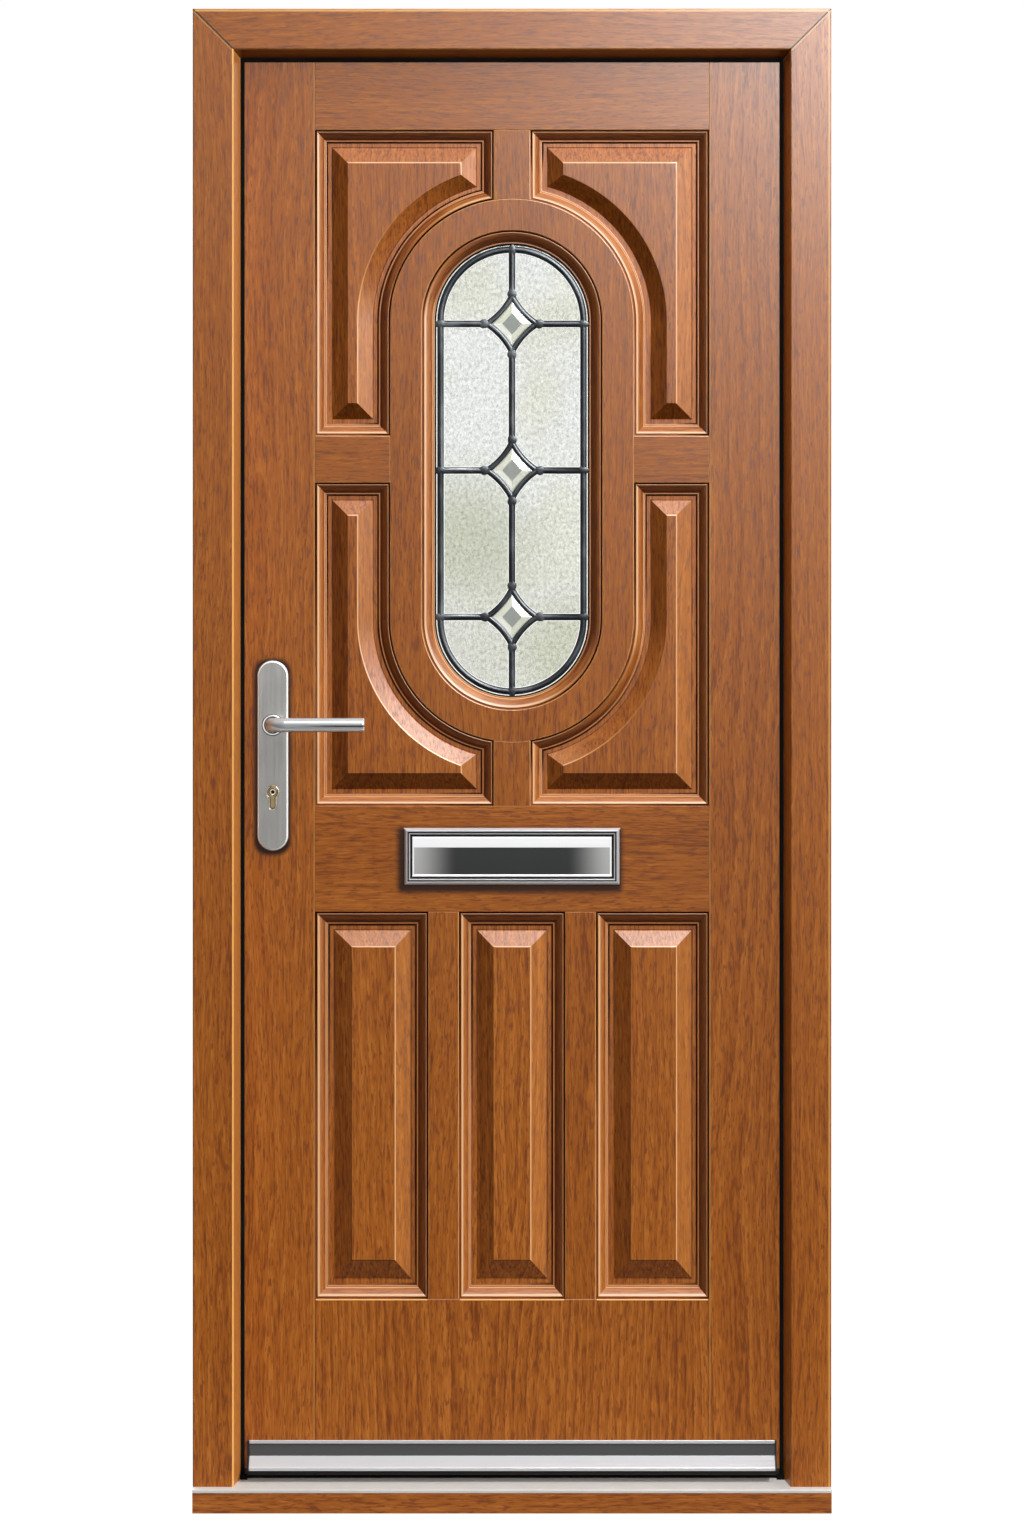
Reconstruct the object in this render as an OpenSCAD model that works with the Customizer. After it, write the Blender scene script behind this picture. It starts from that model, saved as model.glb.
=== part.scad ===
// Panelled timber front door in its frame, opening inward, with an oval leaded light, raised
// panels, a lever lock set, a letter plate and a weather bar.
// The outside faces -Y, the inside faces +Y and +Z is up. The sill stands on Z = 0.

/* [Leaf] */
// Width of the leaf
leaf_w = 762; // [740:1:840]
// Height of the leaf
leaf_h = 1957; // [1925:1:2060]
// Thickness of the leaf
leaf_t = 44; // [44:1:52]
// Width of each stile
stile_w = 110; // [100:1:125]
// Height of the top rail
top_rail_h = 106; // [90:1:125]
// Height of the lock rail, which carries the letter plate
lock_rail_h = 146; // [120:1:160]
// Height of the bottom rail
bottom_rail_h = 242; // [200:1:265]
// Share of the height between the rails that the lower openings take
lower_share = 0.3643; // [0.32:0.0001:0.4]
// Share of the lower openings' width that the middle one takes
middle_share = 0.32; // [0.28:0.01:0.4]
// Width of each upright between the lower openings
lower_muntin_w = 42.5; // [36:0.5:52]
// Width of the short uprights above and below the oval
oval_muntin_w = 51; // [40:1:60]
// Height of the short cross rails beside the oval
cross_rail_h = 65; // [50:1:80]
// Rise of the cross rails' middle above the oval's middle
cross_rail_rise = 15; // [0:1:40]
// Chamfer on the long edges of every board
arris = 0.8; // [0.4:0.1:1.5]
// Length of the rail tenons inside the stiles
tenon_l = 50; // [35:1:52]
// Thickness of the rail tenons
tenon_t = 14; // [10:0.5:17]
// Shoulder left above and below each tenon
tenon_shoulder = 24; // [20:1:34]
// Glue line around a tenon in its mortice
tenon_clear = 0.2; // [0.1:0.05:0.5]
// Timber left between the lock rail's tenon and the lock case
tenon_to_case = 5; // [3:1:12]

/* [Oval light] */
// Share of the openings' half width that the oval ring reaches out to
ring_share = 0.62; // [0.55:0.01:0.68]
// Width of the timber ring around the aperture
ring_w = 44; // [34:1:52]
// Distance from the ring's crown to the rail above or below
ring_to_rail = 91; // [60:1:120]
// Drop of the oval's middle below the middle of the upper opening
oval_drop = 3; // [0:1:20]
// Width of the glazing beads
bead_w = 19; // [16:0.5:24]
// Depth of the bead behind its quarter round
bead_back = 3; // [2:0.5:5]
// Radius of the inner bead's quarter round
inner_ovolo_r = 5; // [3:0.5:6]
// Thickness of each pane
pane_t = 4; // [3:0.5:5]
// Width of the spacer bar between the panes
spacer_w = 8; // [6:0.5:10]
// Setback of the spacer bar from the panes' edge
spacer_inset = 3; // [2:0.5:4]
// Gap between the panes' edge and the aperture
pane_clear = 2; // [1:0.5:4]
// Width of the lead strips
lead_w = 9; // [7:0.5:11]
// Height of the lead strips' crown
lead_h = 2; // [1.5:0.1:2.8]
// Clear margin of glass outside the border strip
lead_margin = 2; // [1:0.5:6]
// Distance of the outer diamonds inside the middle of the round ends
diamond_drop = 4; // [0:1:20]
// Half width of the diamonds, to the middle of the lead
diamond_half_w = 34; // [28:1:40]
// Half height of the diamonds, to the middle of the lead
diamond_half_h = 38; // [30:1:46]
// Bow of the diamonds' sides
diamond_bow = 3.5; // [2:0.5:5]
// Thickness of the bevelled diamonds in front of the pane
diamond_t = 4; // [3:0.5:6]

/* [Mouldings and panels] */
// Sinking of the mouldings' crest below the leaf's face
moulding_sink = 2; // [1:0.5:3]
// Width of the mouldings around the panels
moulding_w = 17; // [15:0.5:20]
// Radius of the mouldings' quarter round
ovolo_r = 9; // [7:0.5:10]
// Depth of the moulding behind its quarter round
moulding_back = 2; // [1.5:0.5:3]
// Width of the flat fillet below the quarter round
fillet_w = 2; // [1:0.5:3]
// Width of the last small step
step_w = 1.5; // [1:0.5:2]
// Height of the last small step
step_h = 0.8; // [0.5:0.1:1.2]
// Width of the quirk between a moulding's crest and its opening's edge
quirk_w = 2; // [1:0.5:3]
// Depth of the quirk below the crest
quirk_d = 3; // [1:0.5:4]
// Flat margin between moulding and bevel
margin_w = 6; // [3:0.5:9]
// Width of the panels' bevels
bevel_w = 22; // [18:0.5:25]
// Sinking of the panels' field below the leaf's face
field_sink = 3; // [2:0.5:6]
// Gap around each panel for the timber to move in
panel_clear = 1.5; // [1:0.5:3]

/* [Frame] */
// Width of the frame's face on jambs and head
jamb_face = 56; // [45:1:75]
// Width of the sloping reveal between the face and the stop's edge
splay = 8; // [4:0.5:14]
// Depth of the stop in front of the leaf
stop_d = 47.5; // [40:0.5:60]
// Lap of the stop over the leaf's edge
stop_lap = 7.5; // [6:0.5:10]
// Gap between the leaf's edges and the frame
side_gap = 3; // [2.5:0.5:4]
// Gap between stop and leaf for the seal
seal_gap = 3.5; // [2.5:0.5:5]
// Lip of the seal that shows past the stop's edge
seal_lip = 5.5; // [3:0.5:7]
// Seal width held behind the stop
seal_lap = 5; // [3:0.5:5.5]
// Clearance between the seal and the closed leaf
seal_clear = 0.3; // [0.2:0.1:0.6]
// Height of the sill's front edge
sill_h = 31; // [25:1:45]
// Rise of the sill's sloping top
sill_rise = 9.5; // [6:0.5:14]
// Sill nose in front of the jambs
sill_nose = 16; // [8:1:30]
// Radius of the drip groove under the nose
throat_r = 3; // [2:0.5:4]
// Thickness of the metal plate on the sill
sill_plate_t = 1.5; // [1:0.1:2.5]
// Depth of the plate's turned-down front lip
sill_lip_h = 3; // [2:0.5:6]
// Gap between the sill plate and the leaf's foot
foot_gap = 5; // [4:0.5:8]
// Radius of the frame's fixing holes
fixing_r = 4; // [3:0.25:5]
// Radius of the counterbores for the frame screws' heads
fixing_head_r = 8; // [6:0.5:10]
// Depth of the counterbores for the frame screws' heads
fixing_head_d = 12; // [8:1:20]
// Height of the lower fixing hole above the leaf's foot
fixing_low = 120; // [80:1:170]
// Distance between the fixing holes of one jamb
fixing_pitch = 1500; // [1300:10:1560]

/* [Hinges] */
// Height of each hinge
hinge_h = 102; // [90:1:115]
// Width of each hinge plate
hinge_w = 32; // [26:1:38]
// Thickness of the hinge plates
hinge_t = 2.5; // [2:0.1:3]
// Radius of the hinge knuckles
knuckle_r = 5.5; // [5:0.1:7]
// Radius of the hinge pins
pin_r = 3; // [2.5:0.1:3.4]
// Running clearance of the pins in the knuckles
pin_clear = 0.05; // [0.02:0.01:0.1]
// Gap between neighbouring knuckles
knuckle_gap = 0.4; // [0.3:0.1:0.8]
// Gap between the knuckles and the timber or plates beside them
knuckle_clear = 0.7; // [0.5:0.1:1.2]
// Distance of the top hinge's middle below the leaf's top
hinge_from_top = 200; // [160:1:260]
// Distance of the bottom hinge's middle above the leaf's foot
hinge_from_foot = 276; // [220:1:320]
// Clearance around a plate let into timber
inlay_clear = 0.1; // [0.05:0.05:0.3]

/* [Weather bar and foot seal] */
// Setback of the weather bar's ends from the leaf's edges
bar_inset = 17; // [16:1:40]
// Height of the bar's drip edge above the leaf's foot
bar_foot = 8; // [4:1:20]
// Height of the bar
bar_h = 40; // [34:1:50]
// Height of the apron's foot edge
bar_nose_h = 4.5; // [3:0.5:7]
// Height of the sloping apron
bar_apron_h = 14; // [10:1:18]
// Projection of the bar in front of the leaf
bar_out = 30; // [20:1:38]
// Thickness of the bar's metal
bar_t = 2.5; // [2:0.1:3.5]
// Extra projection of the bar's top lip
bar_lip = 2; // [1:0.5:4]
// Height of the bar's top lip
bar_lip_h = 4.5; // [3:0.5:7]
// Thickness of each end cap
bar_cap_t = 2.5; // [2:0.5:4]
// Width of the seal under the leaf
foot_seal_w = 10; // [6:1:16]
// Setback of the foot seal from the leaf's front face
foot_seal_in = 4; // [2:1:10]
// Gap between the foot seal and the sill plate
foot_seal_clear = 0.5; // [0.3:0.1:1.5]
// Gap between the foot seal's ends and the frame's seal
foot_seal_end = 2; // [1:0.5:6]

/* [Letter plate] */
// Width of the letter plate
letter_w = 298; // [270:1:320]
// Height of the letter plate
letter_h = 79; // [70:1:90]
// Rise of the letter plate's middle above the lock rail's middle
letter_rise = 3; // [-5:1:8]
// Width of the plate's moulded border
letter_border = 11; // [10:0.5:13]
// Height of the border's ridge above the leaf
letter_ridge = 8.5; // [7:0.5:10]
// Height of the border's inner lip above the leaf
letter_lip = 5; // [4:0.5:6]
// Gap between flap and border
flap_gap = 1; // [0.8:0.1:2]
// Radius of the flap's rolled top edge
flap_roll_r = 2; // [1.8:0.1:2.5]
// Gap between the rolled edge and the leaf
flap_roll_clear = 0.6; // [0.4:0.1:1]
// Thickness of the flap
flap_t = 2; // [1.5:0.1:2.4]
// Height of the flap's sloping top band
flap_band_h = 14; // [10:1:18]
// Forward step of the flap's face below its top band
flap_step = 2.4; // [1.5:0.1:3]
// Height of the lip along the flap's foot
flap_lip_h = 3; // [2:0.5:5]
// Projection of that lip
flap_lip = 1.2; // [0.8:0.1:2]
// Distance of the slot's ends inside the plate's ends
slot_end = 21; // [18:1:30]
// Distance of the slot's edges inside the plate's edges
slot_edge = 19.5; // [17:0.5:24]
// Wall of the sleeve that lines the slot
sleeve_t = 2; // [1.5:0.5:3]
// Clearance of the sleeve in the slot
sleeve_clear = 0.3; // [0.2:0.1:1]

/* [Lever set] */
// Distance of the spindle from the leaf's edge
backset = 52; // [48:1:56]
// Height of the spindle above the lock rail
spindle_rise = 111; // [90:1:140]
// Distance from spindle to lock cylinder
centres = 92; // [88:1:98]
// Width of the backplates
backplate_w = 43; // [38:1:52]
// Height of the backplates
backplate_h = 262; // [240:1:290]
// Thickness of the backplates
backplate_t = 9; // [7:0.5:12]
// Rounding of the backplates' front edge
backplate_round = 3; // [2:0.5:5]
// Drop of the backplates' middle below the spindle
backplate_drop = 42; // [36:1:48]
// Radius of the collar around the lever's neck
collar_r = 14; // [13:0.5:16]
// Height of the collar
collar_h = 4; // [3:0.5:6]
// Radius of the lever
lever_r = 10; // [8.5:0.5:11]
// Clearance of the lever's neck in the backplate
neck_clear = 0.3; // [0.2:0.1:0.6]
// Length of the lever from the spindle to its tip
lever_l = 127; // [110:1:140]
// Distance from the backplate's face to the lever's middle
lever_out = 40; // [36:1:50]
// Radius of the lever's bend
lever_bend = 18; // [14:1:22]
// Rounding of the lever's tip
lever_tip_round = 3; // [2:0.5:5]
// Width of the square spindle
spindle_w = 8; // [7:0.5:9]
// Clearance of the spindle in its square holes
spindle_clear = 0.1; // [0.05:0.05:0.2]
// Depth of the spindle in each lever's neck
spindle_in = 20; // [14:1:24]
// Radius of the fixing bolts
bolt_r = 2.5; // [2:0.25:3]
// Radius of the fixing bolts' heads
bolt_head_r = 4.5; // [4:0.25:5.5]
// Clearance around the fixing bolts
bolt_clear = 0.2; // [0.1:0.1:0.5]
// Distance of the bolts inside the backplates' ends
bolt_inset = 16; // [12:1:20]

/* [Lock] */
// Depth of the lock case behind the faceplate
case_d = 75; // [72:1:80]
// Thickness of the lock case
case_t = 18; // [17:0.5:20]
// Wall of the lock case
case_wall = 1.5; // [1:0.1:2]
// Height of the case above the spindle
case_up = 39; // [37:1:44]
// Height of the case below the cylinder
case_down = 29; // [27:1:33]
// Thickness of the faceplate
face_t = 3; // [2:0.5:4]
// Width of the faceplate
face_w = 22; // [21:1:24]
// Length of the faceplate past the case at each end
face_over = 35; // [25:1:45]
// Clearance of the case in the stile
case_clear = 0.5; // [0.3:0.1:1]
// Gap between the bolts and the case's walls
bolt_play = 1; // [0.5:0.1:1.5]
// Clearance of latch and bolt in their windows
slide_clear = 0.3; // [0.2:0.1:0.5]
// Height of the latch
latch_h = 24; // [20:1:26]
// Projection of the latch from the leaf's edge
latch_out = 11; // [9:0.5:12]
// Length of the latch head inside the case
latch_in = 20; // [18:1:22]
// Gap between the latch and the case's top wall
latch_top_gap = 4.5; // [3:0.5:7]
// Height of the deadbolt
deadbolt_h = 24; // [20:1:28]
// Length of the deadbolt
deadbolt_l = 55; // [50:1:60]
// Rise of the deadbolt's middle above the cylinder
deadbolt_rise = 47; // [44:1:50]
// Radius of the follower's hub
hub_r = 9; // [8:0.5:9.5]
// Reach of the follower's finger
finger_l = 20; // [19.5:0.1:20.5]
// Width of the follower's finger
finger_w = 6; // [5:0.5:6.5]
// Free travel of the finger before the latch's tail
finger_play = 1.2; // [1:0.1:1.6]
// Thickness of the strike plate
strike_t = 2; // [1.5:0.1:3]
// Width of the strike plate
strike_w = 24; // [22:1:28]
// Length of the strike plate past its windows
strike_over = 22; // [16:1:40]
// Gap around the bolts in the strike plate's windows
strike_clear = 1.5; // [1:0.5:2.5]
// Free depth in the jamb behind each bolt's tip
keep_clear = 3; // [2:0.5:6]
// Throw of the deadbolt
deadbolt_throw = 20; // [16:1:22]
// Radius of the cylinder's round part
cyl_r = 8.5; // [8:0.1:8.8]
// Width of the cylinder's lower part
cyl_w = 10; // [9:0.5:11]
// Depth of the cylinder below its axis
cyl_down = 24.5; // [23.5:0.5:26]
// Projection of the cylinder from the backplates
cyl_out = 1; // [0.5:0.5:3]
// Radius of the cylinder's plug
plug_r = 6.4; // [5.8:0.1:6.6]
// Running clearance of the plug
plug_clear = 0.1; // [0.02:0.01:0.1]
// Width of the gap for the cam
cam_slot = 10; // [9:0.5:11]
// Side clearance of the cam
cam_clear = 0.3; // [0.2:0.1:0.5]
// Reach of the cam from the plug's axis
cam_r = 15; // [13:0.5:15.5]
// Width of the cam's tooth
cam_w = 8; // [6:0.5:9]
// Width of the keyway
key_w = 2.2; // [1.8:0.1:3]
// Height of the keyway
key_h = 8; // [6:0.5:9]
// Depth of the keyway
key_d = 12; // [8:1:16]
// Clearance of the cylinder in the timber, case and backplates
cyl_clear = 0.4; // [0.3:0.1:0.8]

/* [Hidden] */
$fn = 96;
// Overcut that makes a cut pass right through
cut = 1;

sill_top = sill_h + sill_rise + sill_plate_t;
leaf_z0 = sill_top + foot_gap;
leaf_z1 = leaf_z0 + leaf_h;
front = seal_gap;
back = front + leaf_t;
leaf_mid = (front + back) / 2;
leaf_x = leaf_w / 2;
stop_x = leaf_x - stop_lap;
rebate_x = leaf_x + side_gap;
face_x = stop_x + splay;
frame_x = face_x + jamb_face;
// Height of the head's section above the jambs' section laid on its side
head_shift = leaf_z1 - leaf_x;
frame_h = frame_x + head_shift;
nose_y = -stop_d - sill_nose;

open_x = leaf_x - stile_w;
openings_h = leaf_h - top_rail_h - lock_rail_h - bottom_rail_h;
bottom_rail_z1 = leaf_z0 + bottom_rail_h;
lock_rail_z0 = bottom_rail_z1 + round(lower_share * openings_h);
lock_rail_z1 = lock_rail_z0 + lock_rail_h;
top_rail_z0 = leaf_z1 - top_rail_h;
oval_z = (lock_rail_z1 + top_rail_z0) / 2 - oval_drop;
ring_r = round(ring_share * open_x);
oval_r = ring_r - ring_w;
oval_straight = top_rail_z0 - lock_rail_z1 - 2 * ring_r - 2 * ring_to_rail;
cross_z0 = oval_z + cross_rail_rise - cross_rail_h / 2;
cross_z1 = cross_z0 + cross_rail_h;
muntin_x0 = round(middle_share * (open_x - lower_muntin_w));
muntin_x1 = muntin_x0 + lower_muntin_w;

// Each opening is its left, right, foot and top
upper_left = [-open_x, -oval_muntin_w / 2, cross_z1, top_rail_z0];
upper_right = [oval_muntin_w / 2, open_x, cross_z1, top_rail_z0];
middle_left = [-open_x, -oval_muntin_w / 2, lock_rail_z1, cross_z0];
middle_right = [oval_muntin_w / 2, open_x, lock_rail_z1, cross_z0];
lower_left = [-open_x, -muntin_x1, bottom_rail_z1, lock_rail_z0];
lower_middle = [-muntin_x0, muntin_x0, bottom_rail_z1, lock_rail_z0];
lower_right = [muntin_x1, open_x, bottom_rail_z1, lock_rail_z0];
oval_openings = [upper_left, upper_right, middle_left, middle_right];
lower_openings = [lower_left, lower_middle, lower_right];

moulding_seat = moulding_sink + ovolo_r + moulding_back;
bead_seat = moulding_sink + ovolo_r + bead_back;
inner_bead_seat = moulding_sink + inner_ovolo_r + bead_back;
bevel_in = moulding_w + margin_w;
bevel_slope = bevel_w / (moulding_seat - field_sink);

pane_r = oval_r - pane_clear;
sight_r = oval_r - bead_w;
border_r = sight_r - lead_margin - lead_w / 2;
diamond_rise = oval_straight / 2 - diamond_drop;
lead_round = lead_w * lead_w / (8 * lead_h) + lead_h / 2;
diamond_side = sqrt(diamond_half_w * diamond_half_w + diamond_half_h * diamond_half_h);
diamond_arc_r = diamond_side * diamond_side / (8 * diamond_bow) + diamond_bow / 2;
diamond_arc_out = diamond_arc_r - diamond_bow;
diamond_arc_x = diamond_half_w / 2 + diamond_half_h / diamond_side * diamond_arc_out;
diamond_arc_z = diamond_half_h / 2 + diamond_half_w / diamond_side * diamond_arc_out;
diamond_start = atan2(diamond_half_h - diamond_arc_z, -diamond_arc_x);
diamond_turn = 2 * asin(diamond_side / 2 / diamond_arc_r);

hinge_x = leaf_x + side_gap / 2;
hinge_y = back + knuckle_clear + knuckle_r;
knuckle_h = (hinge_h - 4 * knuckle_gap) / 5;
hinge_z_top = leaf_z1 - hinge_from_top;
hinge_z_foot = leaf_z0 + hinge_from_foot;
hinge_levels = [hinge_z_foot, (hinge_z_foot + hinge_z_top) / 2, hinge_z_top];

bar_z0 = leaf_z0 + bar_foot;
bar_x = leaf_x - bar_inset;

letter_z = (lock_rail_z0 + lock_rail_z1) / 2 + letter_rise;
window_w = letter_w - 2 * letter_border;
window_h = letter_h - 2 * letter_border;
slot_w = letter_w - 2 * slot_end;
slot_h = letter_h - 2 * slot_edge;
flap_w = window_w - 2 * flap_gap;
flap_h = window_h - 2 * flap_gap;
flap_axis_z = letter_z + window_h / 2 - flap_gap - flap_roll_r;
flap_axis_y = front - flap_roll_clear - flap_roll_r;
letter_bolt_x = letter_w / 2 - letter_border / 2;

lock_x = -leaf_x + backset;
spindle_z = lock_rail_z1 + spindle_rise;
cyl_z = spindle_z - centres;
backplate_z = spindle_z - backplate_drop;
bolt_reach = backplate_h / 2 - bolt_inset;
lever_y = front - backplate_t - lever_out;
case_x = -leaf_x + face_t;
case_z0 = cyl_z - case_down;
case_z1 = spindle_z + case_up;
bolt_t = case_t - 2 * case_wall - 2 * bolt_play;
latch_z = case_z1 - case_wall - latch_top_gap - latch_h / 2;
// Foot and top of each rail's tenons, the lock rail's kept below the lock case
top_tenon = [top_rail_z0 + tenon_shoulder, leaf_z1 - tenon_shoulder];
lock_tenon = [lock_rail_z0 + tenon_shoulder, min(lock_rail_z1 - tenon_shoulder, case_z0 - tenon_to_case)];
bottom_tenon = [leaf_z0 + tenon_shoulder, bottom_rail_z1 - tenon_shoulder];
deadbolt_z = cyl_z + deadbolt_rise;
latch_x0 = -leaf_x - latch_out;
tail_z0 = spindle_z + finger_l + 2;
tail_x0 = lock_x + finger_w / 2 + finger_play;

timber = [0.58, 0.34, 0.17];
timber_dark = [0.50, 0.28, 0.13];
rubber = [0.05, 0.05, 0.05];
aluminium = [0.72, 0.72, 0.71];
steel = [0.62, 0.61, 0.59];
chrome = [0.80, 0.80, 0.81];
brass = [0.70, 0.58, 0.32];
glass = [0.86, 0.90, 0.88, 0.5];
lead = [0.27, 0.29, 0.31];

// Extrudes along X; the outline's x and y become Y and Z
module along_x(x0, x1) {
    translate([x0, 0, 0])
        rotate([90, 0, 90])
            linear_extrude(x1 - x0)
                children();
}

// Extrudes along Y; the outline's x and y become X and Z
module along_y(y0, y1) {
    translate([0, y1, 0])
        rotate([90, 0, 0])
            linear_extrude(y1 - y0)
                children();
}

// Extrudes along Z; the outline's x and y become X and Y
module along_z(z0, z1) {
    translate([0, 0, z0])
        linear_extrude(z1 - z0)
            children();
}

// Swaps the axes of an outline
module swapped() {
    mirror([1, -1])
        children();
}

// Puts what is drawn for the outside face on the inside face
module on_inside() {
    translate([0, front + back, 0])
        mirror([0, 1, 0])
            children();
}

// Puts the hinge side's shape on the lock side
module on_lock_side() {
    mirror([1, 0, 0])
        children();
}

// A rectangle from its left, right, foot and top
module rectangle(x0, x1, y0, y1) {
    translate([x0, y0])
        square([x1 - x0, y1 - y0]);
}

// A rectangle with a chamfer on each corner
module board_outline(x0, x1, y0, y1) {
    polygon([
        [x0 + arris, y0], [x1 - arris, y0], [x1, y0 + arris], [x1, y1 - arris],
        [x1 - arris, y1], [x0 + arris, y1], [x0, y1 - arris], [x0, y0 + arris]
    ]);
}

// Carries a section, drawn as distance from the axis and Y, around the oval
module around_oval() {
    translate([0, 0, oval_z + oval_straight / 2])
        rotate([-90, 180, 0])
            rotate_extrude(angle = 180)
                children();
    translate([0, 0, oval_z - oval_straight / 2])
        rotate([-90, 0, 0])
            rotate_extrude(angle = 180)
                children();
    along_z(oval_z - oval_straight / 2, oval_z + oval_straight / 2) {
        children();
        mirror([1, 0])
            children();
    }
}

// The whole oval of one radius through the leaf's thickness
module oval_block(r) {
    around_oval()
        rectangle(0, r, front - cut, back + cut);
}

// Moulding section: quirk, crest, quarter round, fillet and step, against the inward distance and depth
module moulding_section(w, round_r, seat) {
    crest_w = w - round_r - fillet_w - step_w;
    round_z = moulding_sink + round_r;
    rectangle(0, quirk_w, moulding_sink + quirk_d, seat);
    rectangle(quirk_w, crest_w, moulding_sink, seat);
    intersection() {
        translate([crest_w, round_z])
            circle(round_r);
        rectangle(crest_w, crest_w + round_r, moulding_sink, round_z);
    }
    rectangle(0, w - step_w, round_z, seat);
    rectangle(0, w, seat - step_h, seat);
}

// The panel moulding's section
module panel_moulding_section() {
    moulding_section(moulding_w, ovolo_r, moulding_seat);
}

// Four moulding bars around an opening, meeting in mitres
module moulding_bars(o) {
    along_z(o[2], o[3])
        translate([o[0], front])
            panel_moulding_section();
    along_z(o[2], o[3])
        translate([o[1], front])
            mirror([1, 0])
                panel_moulding_section();
    along_x(o[0], o[1])
        translate([front, o[2]])
            swapped()
                panel_moulding_section();
    along_x(o[0], o[1])
        translate([front, o[3]])
            mirror([0, 1])
                swapped()
                    panel_moulding_section();
}

// The moulding of an opening that the oval ring bites into
module oval_moulding(o) {
    difference() {
        union() {
            moulding_bars(o);
            intersection() {
                along_y(front, back)
                    rectangle(o[0], o[1], o[2], o[3]);
                around_oval()
                    translate([ring_r, front])
                        panel_moulding_section();
            }
        }
        oval_block(ring_r);
    }
}

// Raised section across an opening, bevelled on both faces, against distance and depth
module raised_outline(a0, a1) {
    polygon([
        [a0 + bevel_in, moulding_seat], [a0 + bevel_in + bevel_w, field_sink],
        [a1 - bevel_in - bevel_w, field_sink], [a1 - bevel_in, moulding_seat],
        [a1 - bevel_in, leaf_t - moulding_seat], [a1 - bevel_in - bevel_w, leaf_t - field_sink],
        [a0 + bevel_in + bevel_w, leaf_t - field_sink], [a0 + bevel_in, leaf_t - moulding_seat]
    ]);
}

// A raised and bevelled panel held between the mouldings of an opening
module panel(o) {
    along_y(front + moulding_seat, back - moulding_seat)
        rectangle(o[0] + panel_clear, o[1] - panel_clear, o[2] + panel_clear, o[3] - panel_clear);
    intersection() {
        along_z(o[2] + bevel_in, o[3] - bevel_in)
            translate([0, front])
                raised_outline(o[0], o[1]);
        along_x(o[0] + bevel_in, o[1] - bevel_in)
            translate([front, 0])
                swapped()
                    raised_outline(o[2], o[3]);
    }
}

// A panel hollowed along the oval ring, with its bevel carried round the curve
module oval_panel(o) {
    wide_r = ring_r + bevel_in + moulding_seat * bevel_slope;
    difference() {
        panel(o);
        around_oval()
            translate([0, front])
                polygon([
                    [0, 0], [wide_r, 0], [ring_r + bevel_in, moulding_seat],
                    [ring_r + panel_clear, moulding_seat], [ring_r + panel_clear, leaf_t - moulding_seat],
                    [ring_r + bevel_in, leaf_t - moulding_seat], [wide_r, leaf_t], [0, leaf_t]
                ]);
    }
}

// Jamb section on the hinge side, in X and Y
module jamb_section() {
    polygon([
        [face_x, -stop_d + 2 * arris], [face_x + 2 * arris, -stop_d], [frame_x - arris, -stop_d],
        [frame_x, -stop_d + arris], [frame_x, back], [rebate_x, back], [rebate_x, 0], [stop_x, 0]
    ]);
}

// Everything under the sill plate's top face
module under_sill_top() {
    along_x(-frame_x - cut, frame_x + cut)
        polygon([
            [nose_y - sill_plate_t, -cut], [back + cut, -cut], [back + cut, sill_top], [0, sill_top],
            [nose_y - sill_plate_t, sill_h + sill_plate_t]
        ]);
}

// A jamb on the hinge side, mitred at its head and cut to the sill's slope
module jamb_blank() {
    difference() {
        intersection() {
            along_z(0, frame_h)
                jamb_section();
            along_y(-stop_d - cut, back + cut)
                polygon([[0, 0], [frame_x + cut, 0], [frame_x + cut, frame_h + cut], [0, head_shift]]);
        }
        under_sill_top();
        for (z = [0, fixing_pitch])
            translate([rebate_x - cut, leaf_mid, leaf_z0 + fixing_low + z])
                rotate([0, 90, 0]) {
                    cylinder(h = frame_x - rebate_x + 2 * cut, r = fixing_r);
                    cylinder(h = fixing_head_d + cut, r = fixing_head_r);
                }
    }
}

// Head of the frame, mitred to both jambs
module frame_head() {
    color(timber)
        intersection() {
            along_x(-frame_x, frame_x)
                translate([0, head_shift])
                    swapped()
                        jamb_section();
            along_y(-stop_d - cut, back + cut)
                polygon([[0, head_shift], [frame_x + cut, frame_h + cut], [-frame_x - cut, frame_h + cut]]);
        }
}

// Strike plate's foot and top
strike_z0 = deadbolt_z - deadbolt_h / 2 - strike_clear - strike_over;
strike_z1 = latch_z + latch_h / 2 + strike_clear + strike_over;

// Room for a bolt of one height around its level, from the rebate into the jamb
module keep_room(z, h, depth) {
    along_x(-rebate_x - depth, -rebate_x + cut)
        rectangle(leaf_mid - bolt_t / 2 - strike_clear, leaf_mid + bolt_t / 2 + strike_clear,
            z - h / 2 - strike_clear, z + h / 2 + strike_clear);
}

// Jamb that receives the latch and the deadbolt
module lock_jamb() {
    color(timber)
        difference() {
            on_lock_side()
                jamb_blank();
            along_x(-rebate_x - strike_t, -rebate_x + cut)
                rectangle(leaf_mid - strike_w / 2 - inlay_clear, leaf_mid + strike_w / 2 + inlay_clear,
                    strike_z0 - inlay_clear, strike_z1 + inlay_clear);
            keep_room(latch_z, latch_h, latch_out - side_gap + keep_clear);
            keep_room(deadbolt_z, deadbolt_h, deadbolt_throw - side_gap + keep_clear);
        }
}

// Room for one hinge plate in the timber of either side
module hinge_inlay(x0, x1, z) {
    along_z(z - hinge_h / 2 - inlay_clear, z + hinge_h / 2 + inlay_clear)
        rectangle(x0, x1, back - hinge_w - inlay_clear, back + cut);
}

// Jamb that carries the hinges
module hinge_jamb() {
    color(timber)
        difference() {
            jamb_blank();
            for (z = hinge_levels)
                hinge_inlay(rebate_x - cut, rebate_x + hinge_t, z);
        }
}

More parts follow.
